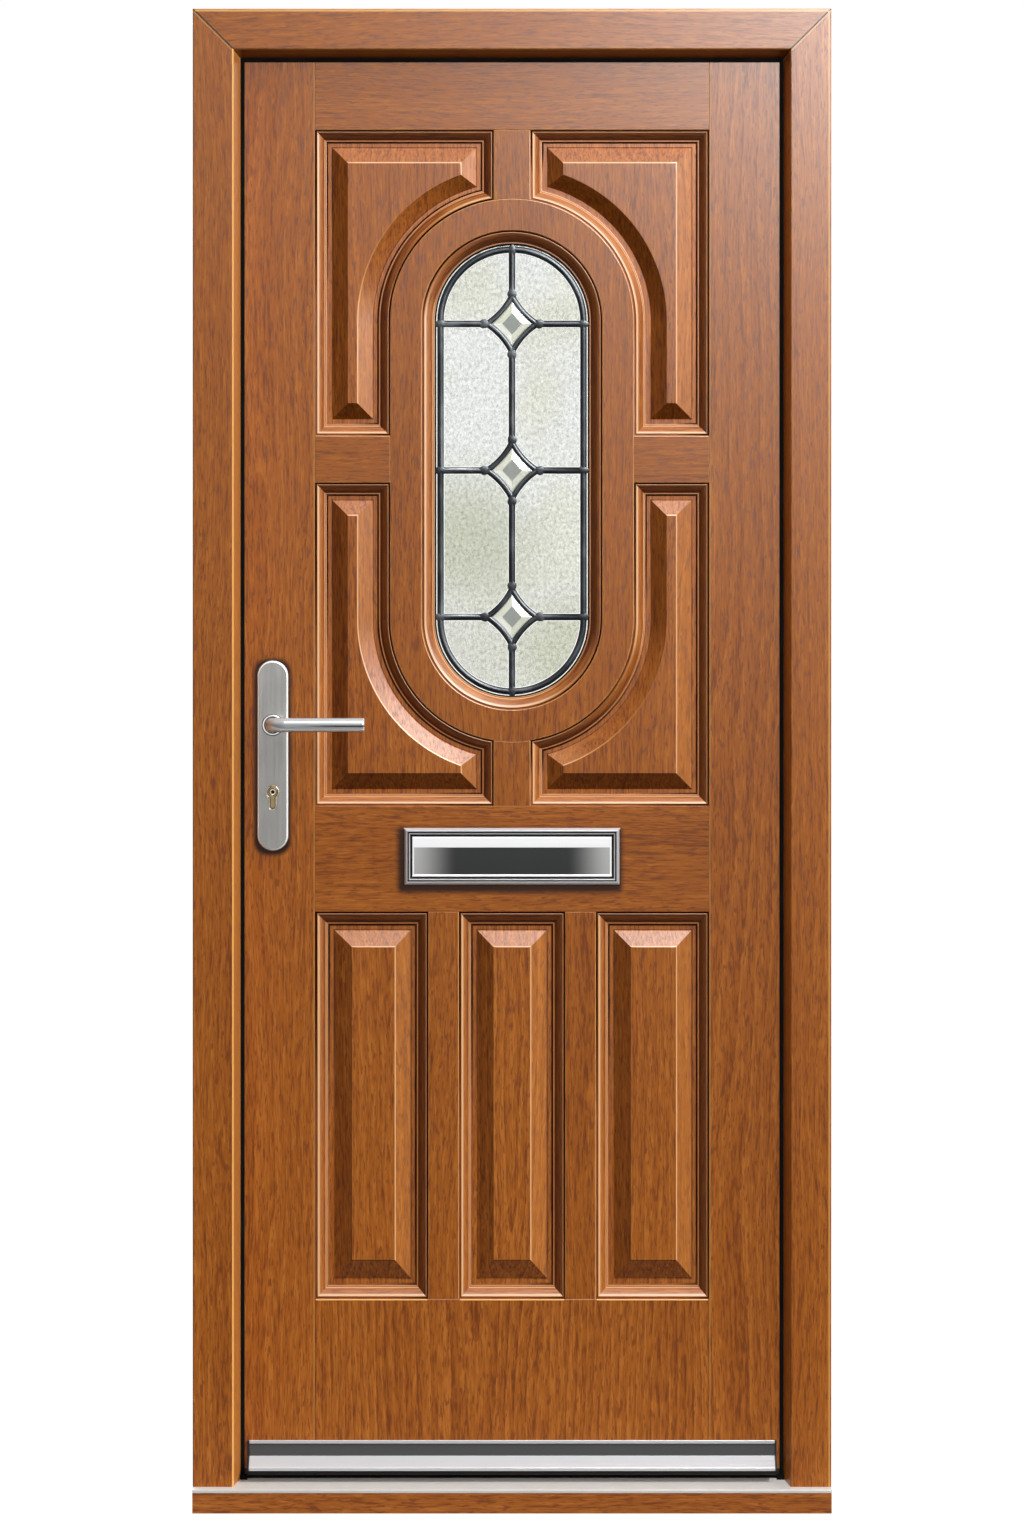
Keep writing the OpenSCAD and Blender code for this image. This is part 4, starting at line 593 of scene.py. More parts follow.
def plate_metal():
    """A backplate: satin steel with a painted highlight along its rim and painted shade at its outermost edge, and
    round the collar a painted dark reflection toward the lever's neck, a painted highlight ring and a painted shade
    line.
    """
    low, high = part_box("outside_backplate")

    def edge(place):
        return plate_reach(place, "outside_backplate", (high.x - low.x) / 2)

    def rim(place):
        return between(edge(place), -0.0027, -0.0022)

    # Painted highlight on the rim, painted shade at the outer edge, and round the collar a painted reflection,
    # highlight ring and shade line
    def paint(colour, place):
        reach = length(*(off_middle(place, "spindle", axis)[0] for axis in "XZ"))
        return layered(colour, (rim(place), (0.93, 0.93, 0.92, 1)),
                       (between(edge(place), -0.0010, -0.0005, 0.0, 0.8), (0.06, 0.06, 0.06, 1)),
                       (within(reach, 0.0, 0.0117, 0.0004), (0.05, 0.035, 0.02, 1)),
                       (within(reach, 0.0121, 0.0138, 0.0002), (0.95, 0.95, 0.95, 1)),
                       (within(reach, 0.0141, 0.0148, 0.0004), (0.05, 0.05, 0.05, 1)))

    def metallic(place):
        return between(rim(place), 0.0, 1.0, 0.75, 0.15)
    return recoloured(metal("satin_backplate_steel", (0.40, 0.395, 0.38), (0.34, 0.335, 0.32), 0.34, (260, 260, 9),
                            0.10, bump=(0.06, 0.0001)), paint, metallic)


def lever_metal():
    """A polished round lever with painted reflections: lighter grey below, a dark line above that band which fades
    toward the neck, and painted shade along its top and foot edges."""
    low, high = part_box("spindle")

    # Painted reflections: a lighter band below and a dark line; painted shade along the top and foot edges
    def paint(colour, place):
        up = place["Z"] - (low.z + high.z) / 2
        line = within(up, -0.0026, -0.0011, 0.0006) * between(place["X"], -0.30, -0.24, 0.0, 0.9)
        rim = between(abs(up), 0.0084, 0.0096, 0.0, 0.8)
        return layered(colour, (between(up, -0.0010, -0.0030), (0.80, 0.84, 0.86, 1)),
                       (most(line, rim), (0.015, 0.015, 0.016, 1)))
    return recoloured(metal("polished_lever_steel", (0.60, 0.605, 0.61), (0.52, 0.52, 0.52), 0.20, (14, 400, 400),
                            0.0, 0.1, (0.0, 0.0001), 0.45), paint)


def border_metal(name, node):
    """The letter plate's border: a bright bead outside and inside, with painted shade in the groove between, in the
    rebate round the flap and along the outer edge except along the top, which looks to the light."""
    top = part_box(node)[1].z

    # Painted shade in the groove, the rebate and the outer edge
    def paint(colour, place):
        inset = least(*(half - off for off, half in (off_middle(place, node, axis) for axis in "XZ")))
        rim = clamped(between(inset, 0.0016, 0.0008) - between(place["Z"], top - 0.0020, top - 0.0016))
        groove, rebate = within(inset, 0.0054, 0.0070, 0.0003), between(inset, 0.0086, 0.0091)
        return blend(most(rim, most(groove, rebate)), colour, (0.015, 0.015, 0.015, 1))
    return recoloured(metal(name, (0.66, 0.67, 0.69), (0.48, 0.49, 0.51), 0.22, (20, 300, 300), 0.02, 0.1,
                            (0.0, 0.0001), 0.5), paint)


def cylinder_brass(name, *rings):
    """Lock brass: rings of tone about the plug's middle, and a painted highlight along the rim of the keyhole-shaped
    body with a painted shade band inside it.
    """
    low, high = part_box("cylinder_body")
    round_r, slot_r = (high.x - low.x) / 2, 0.005

    # Painted highlight on the rim and a painted shade band inside it
    def paint(colour, place):
        aside = place["X"] - (low.x + high.x) / 2
        reach = length(aside, place["Z"] - (high.z - round_r))
        below = least(place["Z"] - (low.z + slot_r), 0.0)
        inset = most(round_r - reach, slot_r - length(aside, below))
        return layered(colour, (between(inset, 0.0011, 0.0008), (0.80, 0.72, 0.56, 1)),
                       (within(inset, 0.0012, 0.0022, 0.0002), (0.10, 0.07, 0.035, 1)),
                       *((within(reach, inner, outer, 0.0002), tone) for inner, outer, tone in rings))
    return recoloured(metal(name, (0.48, 0.36, 0.19), (0.28, 0.20, 0.09), 0.30, (260, 260, 40), 0.1, 0.3,
                            (0.05, 0.0001), 0.6), paint)


def diamond_place(place):
    """Height above the middle of the nearest diamond."""
    rise = place["Z"] - OVAL_Z
    return rise - worked("ROUND", rise / DIAMOND_STEP) * DIAMOND_STEP


def lead_reach(place):
    """Distance to the middle of the nearest lead strip: the upright and level ones, the diamonds' bowed sides, which
    are arcs about points outside their corners, and the border."""
    aside, up = from_middle(place), abs(diamond_place(place))
    bow = length(aside - BOW_X, up - BOW_Z)
    straight = least(aside, up) + between(bow, BOW_R - 0.0001, BOW_R + 0.0001)
    past = most(abs(place["Z"] - OVAL_Z) - PANE_STRAIGHT, 0.0)
    return least(straight, least(abs(length(aside, past) - BORDER_R), abs(bow - BOW_R)))


# Greener patches of the rolled glass: distance left of the middle and below it, reach and tint
GREEN_PATCHES = ((0.065, 0.10, 0.155, (0.66, 0.67, 0.57, 1)), (0.065, 0.26, 0.13, (0.77, 0.765, 0.72, 1)),
                 (-0.075, 0.25, 0.14, (0.68, 0.685, 0.58, 1)))


def hammered_glass():
    """Rolled glass: pale, with grey flecks a few millimetres long, broad patches of greener tint and a painted
    highlight line where it meets the lead."""
    def paint(colour, place):
        spot = object_place(colour.tree)
        fleck = between(mottle(stretch(spot, (1.0, 1.0, 0.75)), 230, 2.5, 0.62), 0.42, 0.64)
        fine = between(mottle(spot, 480, 1.5, 0.6), 0.42, 0.66)
        patch = between(mottle(spot, 6.5, 1.0, 0.5), 0.46, 0.66)
        tint = blend(patch, (0.925, 0.925, 0.94, 1), (0.85, 0.855, 0.79, 1))
        for left, drop, reach, shade in GREEN_PATCHES:
            off = length(place["X"] + left, place["Z"] - (OVAL_Z - drop))
            tint = blend(between(off, reach, 0.02), tint, shade)
        marked = blend(clamped(fleck * 0.62 + fine * 0.25), tint, (0.53, 0.54, 0.52, 1), "MULTIPLY")
        # A painted highlight line beside each lead strip
        return blend(within(lead_reach(place), 0.0044, 0.0054, 0.0003), marked, (1.0, 1.0, 1.0, 1))
    return recoloured(glass("hammered_glass", (0.955, 0.965, 0.945), 0.06, 700, (0.25, 0.0004),
                            Specular_IOR_Level=0.25), paint)


def diamond_glass():
    """Bevelled diamonds: a grey middle, with bevels painted bright where they slope along the light and painted greyer
    where they slope across it.
    """
    def paint(colour, place):
        up = diamond_place(place)
        share = from_middle(place) / DIAMOND_FLAT[0] + abs(up) / DIAMOND_FLAT[1]
        # Painted highlight on one pair of bevels and painted shade on the other
        bevel = blend(between(place["X"] * up, -1e-6, 1e-6), (0.70, 0.71, 0.62, 1), (0.92, 0.93, 0.88, 1))
        return blend(between(share, 0.98, 1.03, 1.0, 0.0), bevel, (0.37, 0.39, 0.37, 1))
    return recoloured(dressed("bevelled_glass", SKIN, object_place,
                              {"Amount": 0.2, "Gloss": 0.06, "Pit Scale": (300.0, 300.0, 300.0)}, (0.05, 0.0002),
                              Transmission_Weight=0.5, IOR=1.2), paint)


HAMMERED, DIAMOND, SATIN_PLATE, POLISHED = hammered_glass(), diamond_glass(), plate_metal(), lever_metal()
# The plug: a painted highlight ring, a painted shade ring and a near-black middle painted for the keyhole's dark
# opening
KEYWAY_BRASS = cylinder_brass("plug_brass", (0.0025, 0.0042, (0.85, 0.78, 0.64, 1)),
                              (0.0044, 0.0052, (0.10, 0.07, 0.03, 1)), (0.0, 0.0024, (0.004, 0.004, 0.004, 1)))

# Painted shadow round the plates, open mitres, painted highlights on the frame's outer and inner arrises, painted
# shade under the head and along the lock jamb's outer edge, the joints of the leaf, and painted shade on the leaf's
# ends
FRAME_TOP, FRAME_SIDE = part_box("frame_head")[1].z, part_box("frame_head")[1].x
FACE_W = 0.056
FACE_EDGE = FRAME_SIDE - FACE_W
STILE_JOINT = 0.2709
MITRE = (off_mitre, -0.0009, 0.0009, JOINT_AND_SHADE_DARK, 1.0)
# A painted highlight beside each mitre
MITRE_EDGE = (off_mitre, 0.0013, 0.0024, ARRIS_HIGHLIGHT, 0.6)
# Painted shadow round the backplate and the letter plate
shadowed_round("lock_stile", "outside_backplate", corner=0.0155, width=0.0085, depth=0.95, left=0.0006, down=0.0015)
shadowed_round("lock_rail", "letter_frame", corner=0.001, width=0.0110, depth=0.9, left=0.0030, down=0.0045)
# Head: the mitre, a painted highlight along its top arris and painted shade on its underside
lined("frame_head", MITRE, (height, FRAME_TOP - 0.0040, FRAME_TOP - 0.0018, ARRIS_HIGHLIGHT, 1.0),
      (height, 0.0, FRAME_TOP - FACE_W - 0.0002, JOINT_AND_SHADE_DARK, 0.55))
# Lock jamb: the mitre, painted highlights on its inner arris and splay, and painted shade along its outer edge
lined("lock_jamb", MITRE, MITRE_EDGE, (from_middle, FACE_EDGE - 0.0003, FACE_EDGE + 0.0020, ARRIS_HIGHLIGHT, 0.95),
      (from_middle, FACE_EDGE - 0.008, FACE_EDGE - 0.0005, TIMBER_ARRIS_WEAR_AND_HIGHLIGHT, 0.35),
      (from_middle, FRAME_SIDE - 0.0012, FRAME_SIDE + 0.001, JOINT_AND_SHADE_DARK, 0.55))
# Hinge jamb: the mitre and a painted highlight along its outer arris
lined("hinge_jamb", MITRE, MITRE_EDGE, (from_middle, FRAME_SIDE - 0.0038, FRAME_SIDE - 0.0020, ARRIS_HIGHLIGHT, 0.7))
# Stiles: the dark joints with the rails, and a faint painted highlight beside them
for name in ("lock_stile", "hinge_stile"):
    lined(name, (from_middle, STILE_JOINT - 0.0005, STILE_JOINT + 0.0005, JOINT_AND_SHADE_DARK, 0.75),
          (from_middle, STILE_JOINT + 0.0008, STILE_JOINT + 0.0022, ARRIS_HIGHLIGHT, 0.3))
# A painted highlight along the bottom rail's arris under the lower openings
lined("bottom_rail", (under_openings, -0.0018, 0.0005, ARRIS_HIGHLIGHT, 0.95))
# Painted shade on the leaf's foot below the weather bar and on its top edge
for name in ("lock_stile", "hinge_stile", "bottom_rail", "top_rail"):
    shaded_ends(name)

# Other CAD pieces: finish, arris width and names
FITTINGS = (
    (SILL_METAL, 0.0005, "sill_plate"), (SEAL, 0.0008, "frame_seal"), (SEAL, 0.0005, "foot_seal"),
    (HARDWARE, 0.0004, "strike_plate hinge_jamb_plates hinge_leaf_plates"), (HARDWARE, 0.0005, "hinge_pins"),
    (HAMMERED, 0, "textured_pane"), (CLEAR, 0, "clear_pane"), (SPACER, 0.0003, "spacer_bar"),
    (LEAD, 0, "lead_overlay"), (DIAMOND, 0, "bevelled_diamonds"), (bar_metal(), 0.0007, "weather_bar"),
    (CAP, 0.0006, "weather_bar_caps"), (SLEEVE, 0.0003, "letter_sleeve"), (BOLT_STEEL, 0.0003, "letter_bolts"),
    (border_metal("letter_border_steel", "letter_frame"), 0.0004, "letter_frame"),
    (border_metal("inner_border_steel", "letter_inner_frame"), 0.0004, "letter_inner_frame"),
    (flap_metal("letter_flap_steel", "letter_flap"), 0.0004, "letter_flap"),
    (flap_metal("inner_flap_steel", "inner_letter_flap"), 0.0004, "inner_letter_flap"),
    (SATIN_PLATE, 0.0005, "outside_backplate inside_backplate"), (POLISHED, 0.0006, "outside_lever inside_lever"),
    (BOLT_STEEL, 0.0004, "backplate_bolts spindle"), (BOLT_STEEL, 0.0006, "latch_bolt deadbolt"),
    (LOCK_STEEL, 0.0003, "lock_case"), (LOCK_STEEL, 0.0004, "follower"),
    (cylinder_brass("cylinder_brass"), 0.0003, "cylinder_body"), (KEYWAY_BRASS, 0.0003, "cylinder_plug"),
)
for finish, width, names in FITTINGS:
    for name in names.split():
        dress(name, finish)
        soften(name, width, 30)


# New pieces, each a surface worked out as whole arrays

def grid_quads(rows, cols, wrap_rows=False):
    """Four-sided faces of a grid of points whose rows are closed loops; wrapped rows join the last to the first."""
    r, c = np.meshgrid(np.arange(rows if wrap_rows else rows - 1), np.arange(cols), indexing="ij")
    after, below = (c + 1) % cols, (r + 1) % rows
    return np.stack([r * cols + c, r * cols + after, below * cols + after, below * cols + c], -1).reshape(-1, 4)


def repeated(faces, size, count):
    """Faces of a count of alike pieces, one after another, each of size points."""
    return (faces + size * np.arange(count)[:, None, None]).reshape(-1, faces.shape[1])


def store(data, key, values, kind=np.float32):
    """Writes a whole array into a mesh's data."""
    data.foreach_set(key, np.ascontiguousarray(values, kind).ravel())


def make_piece(name, points, quads, body, material, caps=None, marks=None, run=None, crease=0):
    """A mesh from an array of points and an array of quads, with doubles at seams and poles merged and its
    faces turned outwards, riding on a body. Caps are rows of points, each closed by one flat face, marks are
    named values at the points, run is a UV place for each corner of the quads, and a crease is the angle over
    which an edge stays sharp. A piece with marks also keeps how far each face looks to the sun, on either side."""
    points = np.reshape(points, (-1, 3))
    caps = np.zeros((0, 0), int) if caps is None else caps
    corners = np.concatenate([quads.ravel(), caps.ravel()])
    starts = np.concatenate([np.arange(len(quads)) * 4, quads.size + np.arange(len(caps)) * caps.shape[1]])
    mesh = bpy.data.meshes.new(name)
    mesh.vertices.add(len(points))
    store(mesh.vertices, "co", points)
    mesh.loops.add(len(corners))
    store(mesh.loops, "vertex_index", corners, np.int32)
    mesh.polygons.add(len(starts))
    store(mesh.polygons, "loop_start", starts, np.int32)
    for label, values in (marks or {}).items():
        store(mesh.attributes.new(label, "FLOAT", "POINT").data, "value", values)
    if run is not None:
        store(mesh.uv_layers.new(name="run").data, "uv", run)
    mesh.update(calc_edges=True)
    work = bmesh.new()
    work.from_mesh(mesh)
    bmesh.ops.remove_doubles(work, verts=work.verts, dist=1e-6)
    bmesh.ops.recalc_face_normals(work, faces=work.faces)
    work.to_mesh(mesh)
    work.free()
    store(mesh.polygons, "use_smooth", np.ones(len(mesh.polygons)), bool)
    if marks:
        normals = np.empty(3 * len(mesh.polygons), np.float32)
        mesh.polygons.foreach_get("normal", normals)
        normals = normals.reshape(-1, 3) * [1, 0, 1] - np.abs(normals.reshape(-1, 3) * [0, 1, 0])
        store(mesh.attributes.new("facing", "FLOAT", "FACE").data, "value", normals @ SUNWARD)
    mesh.materials.append(material)
    piece = bpy.data.objects.new(name, mesh)
    bpy.context.scene.collection.objects.link(piece)
    if crease:
        mesh.set_sharp_from_angle(angle=math.radians(crease))
        piece.modifiers.new("shade", "WEIGHTED_NORMAL").keep_sharp = True
    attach(piece, body)
    return piece


# Panels, mouldings and beads are profiles of inset and depth, in millimetres, carried round their openings

LEAF_FRONT, LEAF_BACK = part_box("lock_stile")[0].y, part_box("lock_stile")[1].y
LEAF_T = 1000 * (LEAF_BACK - LEAF_FRONT)
RING_R = 0.168
BEAD_R = 0.124
CREASE = 20

# How much wider the lower panels' profiles are at their left and right sides, tops and feet
SPREAD = {"lower_left_panel": (1.13, 1.02), "lower_middle_panel": (1.06, 1.06), "lower_right_panel": (1.07, 1.0)}
SPREAD_TOP, SPREAD_FOOT = 1.08, 1.20


def opening_box(panel):
    """Lowest and highest X and Z of the opening that a panel stands in."""
    low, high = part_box(panel)
    return low.x - PANEL_CLEAR, high.x + PANEL_CLEAR, low.z - PANEL_CLEAR, high.z + PANEL_CLEAR


def runs_between(corners, counts):
    """Points along straight runs from each corner to the next and from the last to the first, by shares of
    the way, for every inset at once."""
    ends = corners[1:] + corners[:1]
    runs = [a[:, None] + (np.arange(n) / n)[None, :, None] * (b - a)[:, None]
            for a, b, n in zip(corners, ends, counts)]
    return np.concatenate(runs, 1)


def plain_outline(panel):
    """A rectangular opening: at each inset, its four corners moved in by the inset, more where the profile spreads."""
    x0, x1, z0, z1 = opening_box(panel)
    left, right = SPREAD[panel]

    def outline(inset):
        xa, xb, za, zb = x0 + left * inset, x1 - right * inset, z0 + SPREAD_FOOT * inset, z1 - SPREAD_TOP * inset
        corners = [np.stack(pair, -1) for pair in ((xb, zb), (xa, zb), (xa, za), (xb, za))]
        return runs_between(corners, (8, 16, 8, 16))
    return outline


def curved_outline(panel):
    """An opening that the oval ring bites into. At each inset the straight sides move in, and the bite is an
    arc about the ring's end centre whose radius is the ring's plus the inset, run out straight to the cross
    rail. The arc starts where it crosses the upright: its angle's cosine is the upright's place over the radius."""
    x0, x1, z0, z1 = opening_box(panel)
    side = 1 if x0 + x1 > 0 else -1
    upward = 1 if z0 + z1 > 2 * OVAL_Z else -1
    ring_end = OVAL_Z + upward * PANE_STRAIGHT
    near, far = sorted((abs(x0), abs(x1)))
    cross, rail = sorted((upward * (z0 - ring_end), upward * (z1 - ring_end)))

    def outline(inset):
        ring = RING_R + inset
        start = np.arccos((near + inset) / ring)
        corners = [np.stack(pair, -1) for pair in (
            (ring, np.zeros_like(inset)), (ring, cross + inset), (far - inset, cross + inset),
            (far - inset, rail - inset), (near + inset, rail - inset), (near + inset, ring * np.sin(start)))]
        straight = runs_between(corners, (10, 6, 22, 14, 6, 1))
        turn = start[:, None] * (1 - np.arange(56) / 56)[None, :]
        arc = ring[:, None, None] * np.stack([np.cos(turn), np.sin(turn)], -1)
        both = np.concatenate([straight[:, :-1], arc], 1)
        return np.stack([side * both[..., 0], ring_end + upward * both[..., 1]], -1)
    return outline


def light_outline(inset):
    """Once round the oval light: two half circles of the bead's radius less the inset, set apart."""
    radius = BEAD_R - inset
    turn = np.linspace(0, math.pi, 81)
    top = np.stack([radius[:, None] * np.cos(turn), PANE_STRAIGHT + radius[:, None] * np.sin(turn)], -1)
    return np.concatenate([top, -top], 1) + np.array([0, OVAL_Z])


def carried(profile, outline, outside=True):
    """Each row is the outline at one inset of the profile, set back from the leaf's face by the depth there."""
    flat = outline(profile[:, 0] / 1000)
    depth = profile[:, 1] / 1000
    level = LEAF_FRONT + depth if outside else LEAF_BACK - depth
    return np.stack([flat[..., 0], np.broadcast_to(level[:, None], flat.shape[:2]), flat[..., 1]], -1)


def length_along(path):
    """Length run along a closed path at each point and back at its start."""
    steps = np.diff(np.concatenate([path, path[:1]]), axis=0)
    return np.concatenate([[0], np.cumsum(np.linalg.norm(steps, axis=1))])


def along_and_across(points, seed):
    """UV places of a closed strip's quads: the length run along its first row, from a start of its own, and the
    length run across its profile."""
    u, v = length_along(points[0]) + 1.7 * seed, length_along(points[:, 0]) + 0.31 * seed
    r, c = np.meshgrid(np.arange(len(v) - 1), np.arange(len(u) - 1), indexing="ij")
    r, c = r[..., None] + [0, 0, 1, 1], c[..., None] + [0, 1, 1, 0]
    return np.stack([u[c], v[r]], -1).reshape(-1, 4, 2)


def shaded_share(outline):
    """Share of the painted shade at each point of an outline: one, less the square of how far its inward side
    looks to the sun."""
    ends = outline(np.array([0.0, 0.001]))
    sunny = np.maximum((ends[1] - ends[0]) @ SUNWARD[[0, 2]] / 0.001, 0)
    return np.clip(1 - 1.6 * sunny ** 2, 0.1, 1)


def edge_marks(profile, outlines):
    """Painted arris lighting and painted crease shade at every point of a profile carried round outlines, one after
    another.
    """
    shares = [shaded_share(outline) for outline in outlines]
    return {"arris_lighting": np.concatenate([np.repeat(profile[:, 2], len(share)) for share in shares]),
            "crease_shade": np.concatenate([(profile[:, 3, None] * share).ravel() for share in shares])}


def peak(share, middle, width):
    """One at the middle, falling to each side as e to the power of minus the square of the distance in widths."""
    return np.exp(-((share - middle) / width) ** 2)


def moulding_profile(width, round_r, seat):
    """Inset, depth, painted arris lighting and painted crease shade round a moulding's section: a sunk quirk, a nose,
    a bow whose slope turns evenly by forty-four degrees about its chord's, a fillet, a step and the flat underside."""
    sink, fillet, step_w, step_h, quirk_w, quirk_d = 2.0, 2.0, 1.5, 0.8, 2.0, 3.0
    edge, low, foot, step = width - step_w, sink + quirk_d, sink + round_r, seat - step_h
    start, end = quirk_w + 0.9, edge - fillet
    chord, half_turn = math.atan2(round_r, end - start), math.radians(22)
    bow_r = math.hypot(end - start, round_r) / (2 * math.sin(half_turn))
    slope = np.linspace(chord - half_turn, chord + half_turn, 15)
    share = np.linspace(0, 1, 15)
    bow = np.stack([start + bow_r * (np.sin(slope) - np.sin(slope[0])),
                    sink + bow_r * (np.cos(slope[0]) - np.cos(slope)),
                    0.45 * peak(share, 0.12, 0.08) + 0.4 * peak(share, 0.97, 0.07),
                    0.45 * peak(share, 0.74, 0.11)], -1)
    before = np.array([[0, seat, 0, 1], [0, low, 0, 1], [quirk_w - 0.2, low, 0, 1], [quirk_w, low - 0.2, 0, 1],
                       [quirk_w, sink + 1.1, 0, 1], [quirk_w + 0.12, sink + 0.5, 0, 0.5],
                       [quirk_w + 0.4, sink + 0.14, 0.15, 0]])
    after = np.array([[end + 0.3, foot + 0.02, 0, 0.3], [end + 0.6, foot, 0.3, 0], [edge - 0.4, foot, 0.5, 0],
                      [edge - 0.05, foot + 0.12, 0.5, 0], [edge, foot + 0.4, 0, 0.9], [edge, step, 0, 1],
                      [edge + 0.5, step, 0, 1], [width - 0.25, step, 0, 0.9], [width, step + 0.2, 0, 1],
                      [width, seat, 0, 1]])
    return np.concatenate([before, bow, after])


def carry_mouldings(name, outlines, profile, outside, *replaced):
    """One closed strip round each outline, all in one piece."""
    strips = [carried(profile, outline, outside) for outline in outlines]
    quads, runs, first = [], [], 0
    for seed, strip in enumerate(strips):
        quads.append(first + grid_quads(*strip.shape[:2], wrap_rows=True))
        runs.append(along_and_across(strip, seed))
        first += strip.shape[0] * strip.shape[1]
    points = np.concatenate([strip.reshape(-1, 3) for strip in strips])
    piece = make_piece(name, points, np.concatenate(quads), "leaf", MOULDING_TIMBER,
                       marks=edge_marks(profile, outlines), run=np.concatenate(runs), crease=CREASE)
    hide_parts(*replaced)


def raised_panel(node, outline):
    """A panel raised on both faces: from the flat field out over a rounded arris, down the bevel to the flat
    margin, round the panel's edge and back the same way on the other face. A flat face closes each field."""
    # Rows of inset, depth, painted arris lighting and painted crease shade: painted light on the field's arris,
    # painted shade at the bevel's foot and along the margin next to the moulding
    half = np.array([
        [48.0, 3.0, 0, 0], [45.9, 3.0, 0, 0], [45.25, 3.02, 0.4, 0], [44.75, 3.13, 0.5, 0], [44.1, 3.41, 0.35, 0],
        [43.3, 3.77, 0, 0], [34.0, 8.0, 0, 0], [25.0, 12.09, 0, 0], [23.5, 12.77, 0, 0.7], [23.0, 12.96, 0, 0.9],
        [22.4, 13.0, 0, 0.5], [21.0, 13.0, 0, 0], [18.6, 13.0, 0, 0.05], [17.7, 13.0, 0, 0.9], [2.0, 13.0, 0, 1.0],
        [1.6, 13.15, 0, 1.0], [1.5, 13.5, 0, 1.0]])
    profile = np.concatenate([half, half[::-1] * [1, -1, 1, 1] + [0, LEAF_T, 0, 0]])
    points = carried(profile, outline)
    rows, cols = points.shape[:2]
    caps = np.stack([np.arange(cols), (rows - 1) * cols + np.arange(cols)])
    piece = make_piece("raised_" + node, points, grid_quads(rows, cols), "leaf", PANEL_TIMBER[node],
                       caps=caps, marks=edge_marks(profile, [outline]), crease=CREASE)
    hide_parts(node)


CURVED = {name: curved_outline(name) for name in PANEL_TIMBER if name not in LOWER_PANELS}
PLAIN = {name: plain_outline(name) for name in LOWER_PANELS}
for name, outline in (CURVED | PLAIN).items():
    raised_panel(name, outline)
PANEL_PROFILE = moulding_profile(width=17.0, round_r=9.0, seat=13.0)
carry_mouldings("mouldings_round_oval", CURVED.values(), PANEL_PROFILE, True, "oval_outside_mouldings")
carry_mouldings("mouldings_below", PLAIN.values(), PANEL_PROFILE, True, "lower_outside_mouldings")
carry_mouldings("mouldings_inside", (CURVED | PLAIN).values(), PANEL_PROFILE, False, "inside_mouldings")
OUTER_BEAD, INNER_BEAD = moulding_profile(19.0, 9.0, 14.0), moulding_profile(19.0, 5.0, 10.0)
carry_mouldings("bead_outside", [light_outline], OUTER_BEAD, True, "outside_glazing_bead")
carry_mouldings("bead_inside", [light_outline], INNER_BEAD, False, "inside_glazing_bead")


def rolled_waves(x, z, seed, pitch, flat):
    """Height of rolled glass from 0 to 1: white noise on a fine grid, smoothed to about one pitch across and
    flat times that along, then read off at the points."""
    fine = 0.001
    across = int(np.ceil((x.max() - x.min()) / fine)) + 3
    along = int(np.ceil((z.max() - z.min()) / fine)) + 3
    field = np.random.default_rng(seed).standard_normal((along, across))
    fz, fx = np.fft.fftfreq(along)[:, None], np.fft.fftfreq(across)[None, :]
    width = pitch / fine
    keep = np.exp(-((fx * width) ** 2 + (fz * width / flat) ** 2) * 2.2)
    field = np.real(np.fft.ifft2(np.fft.fft2(field) * keep))
    field = np.clip(0.5 + 0.25 * (field - field.mean()) / field.std(), 0, 1)
    col, row = (x - x.min()) / fine, (z - z.min()) / fine
    c0, r0 = col.astype(int), row.astype(int)
    u, v = col - c0, row - r0
    return ((1 - u) * (1 - v) * field[r0, c0] + u * (1 - v) * field[r0, c0 + 1]
            + (1 - u) * v * field[r0 + 1, c0] + u * v * field[r0 + 1, c0 + 1])


def hammered_pane():
    """The outer pane. Rows run up the oval, bunched at its round ends, where half the width is the root of the end
    radius squared less the rise past the straight sides squared. Each row goes across the front, whose depth is the
    rolled waves, and back across the flat rear, so every row is a closed loop."""
    edge_flat, roll_depth, skim = 0.004, 0.00055, 0.00002
    ends = PANE_STRAIGHT + PANE_R * np.sin(np.linspace(0, math.pi / 2, 46))
    rise = np.concatenate([-ends[::-1], np.linspace(-PANE_STRAIGHT, PANE_STRAIGHT, 210)[1:-1], ends])
    past = np.clip(np.abs(rise) - PANE_STRAIGHT, 0, PANE_R)
    half = np.sqrt(np.maximum(PANE_R ** 2 - past ** 2, 0))[:, None]
    share = np.linspace(-1, 1, 132)
    x = half * share[None, :]
    z = np.broadcast_to(OVAL_Z + rise[:, None], x.shape)
    inset = np.clip((1 - np.abs(share))[None, :] * half / edge_flat, 0, 1)
    waves = rolled_waves(x, z, seed=5, pitch=0.0052, flat=1.5)
    front = np.stack([x, PANE_LOW.y + skim + roll_depth * waves * inset, z], -1)
    rear = np.stack([x, np.full_like(x, PANE_HIGH.y), z], -1)[:, ::-1]
    points = np.concatenate([front, rear], 1)
    piece = make_piece("hammered_pane", points, grid_quads(*points.shape[:2]), "leaf", HAMMERED)
    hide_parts("textured_pane")


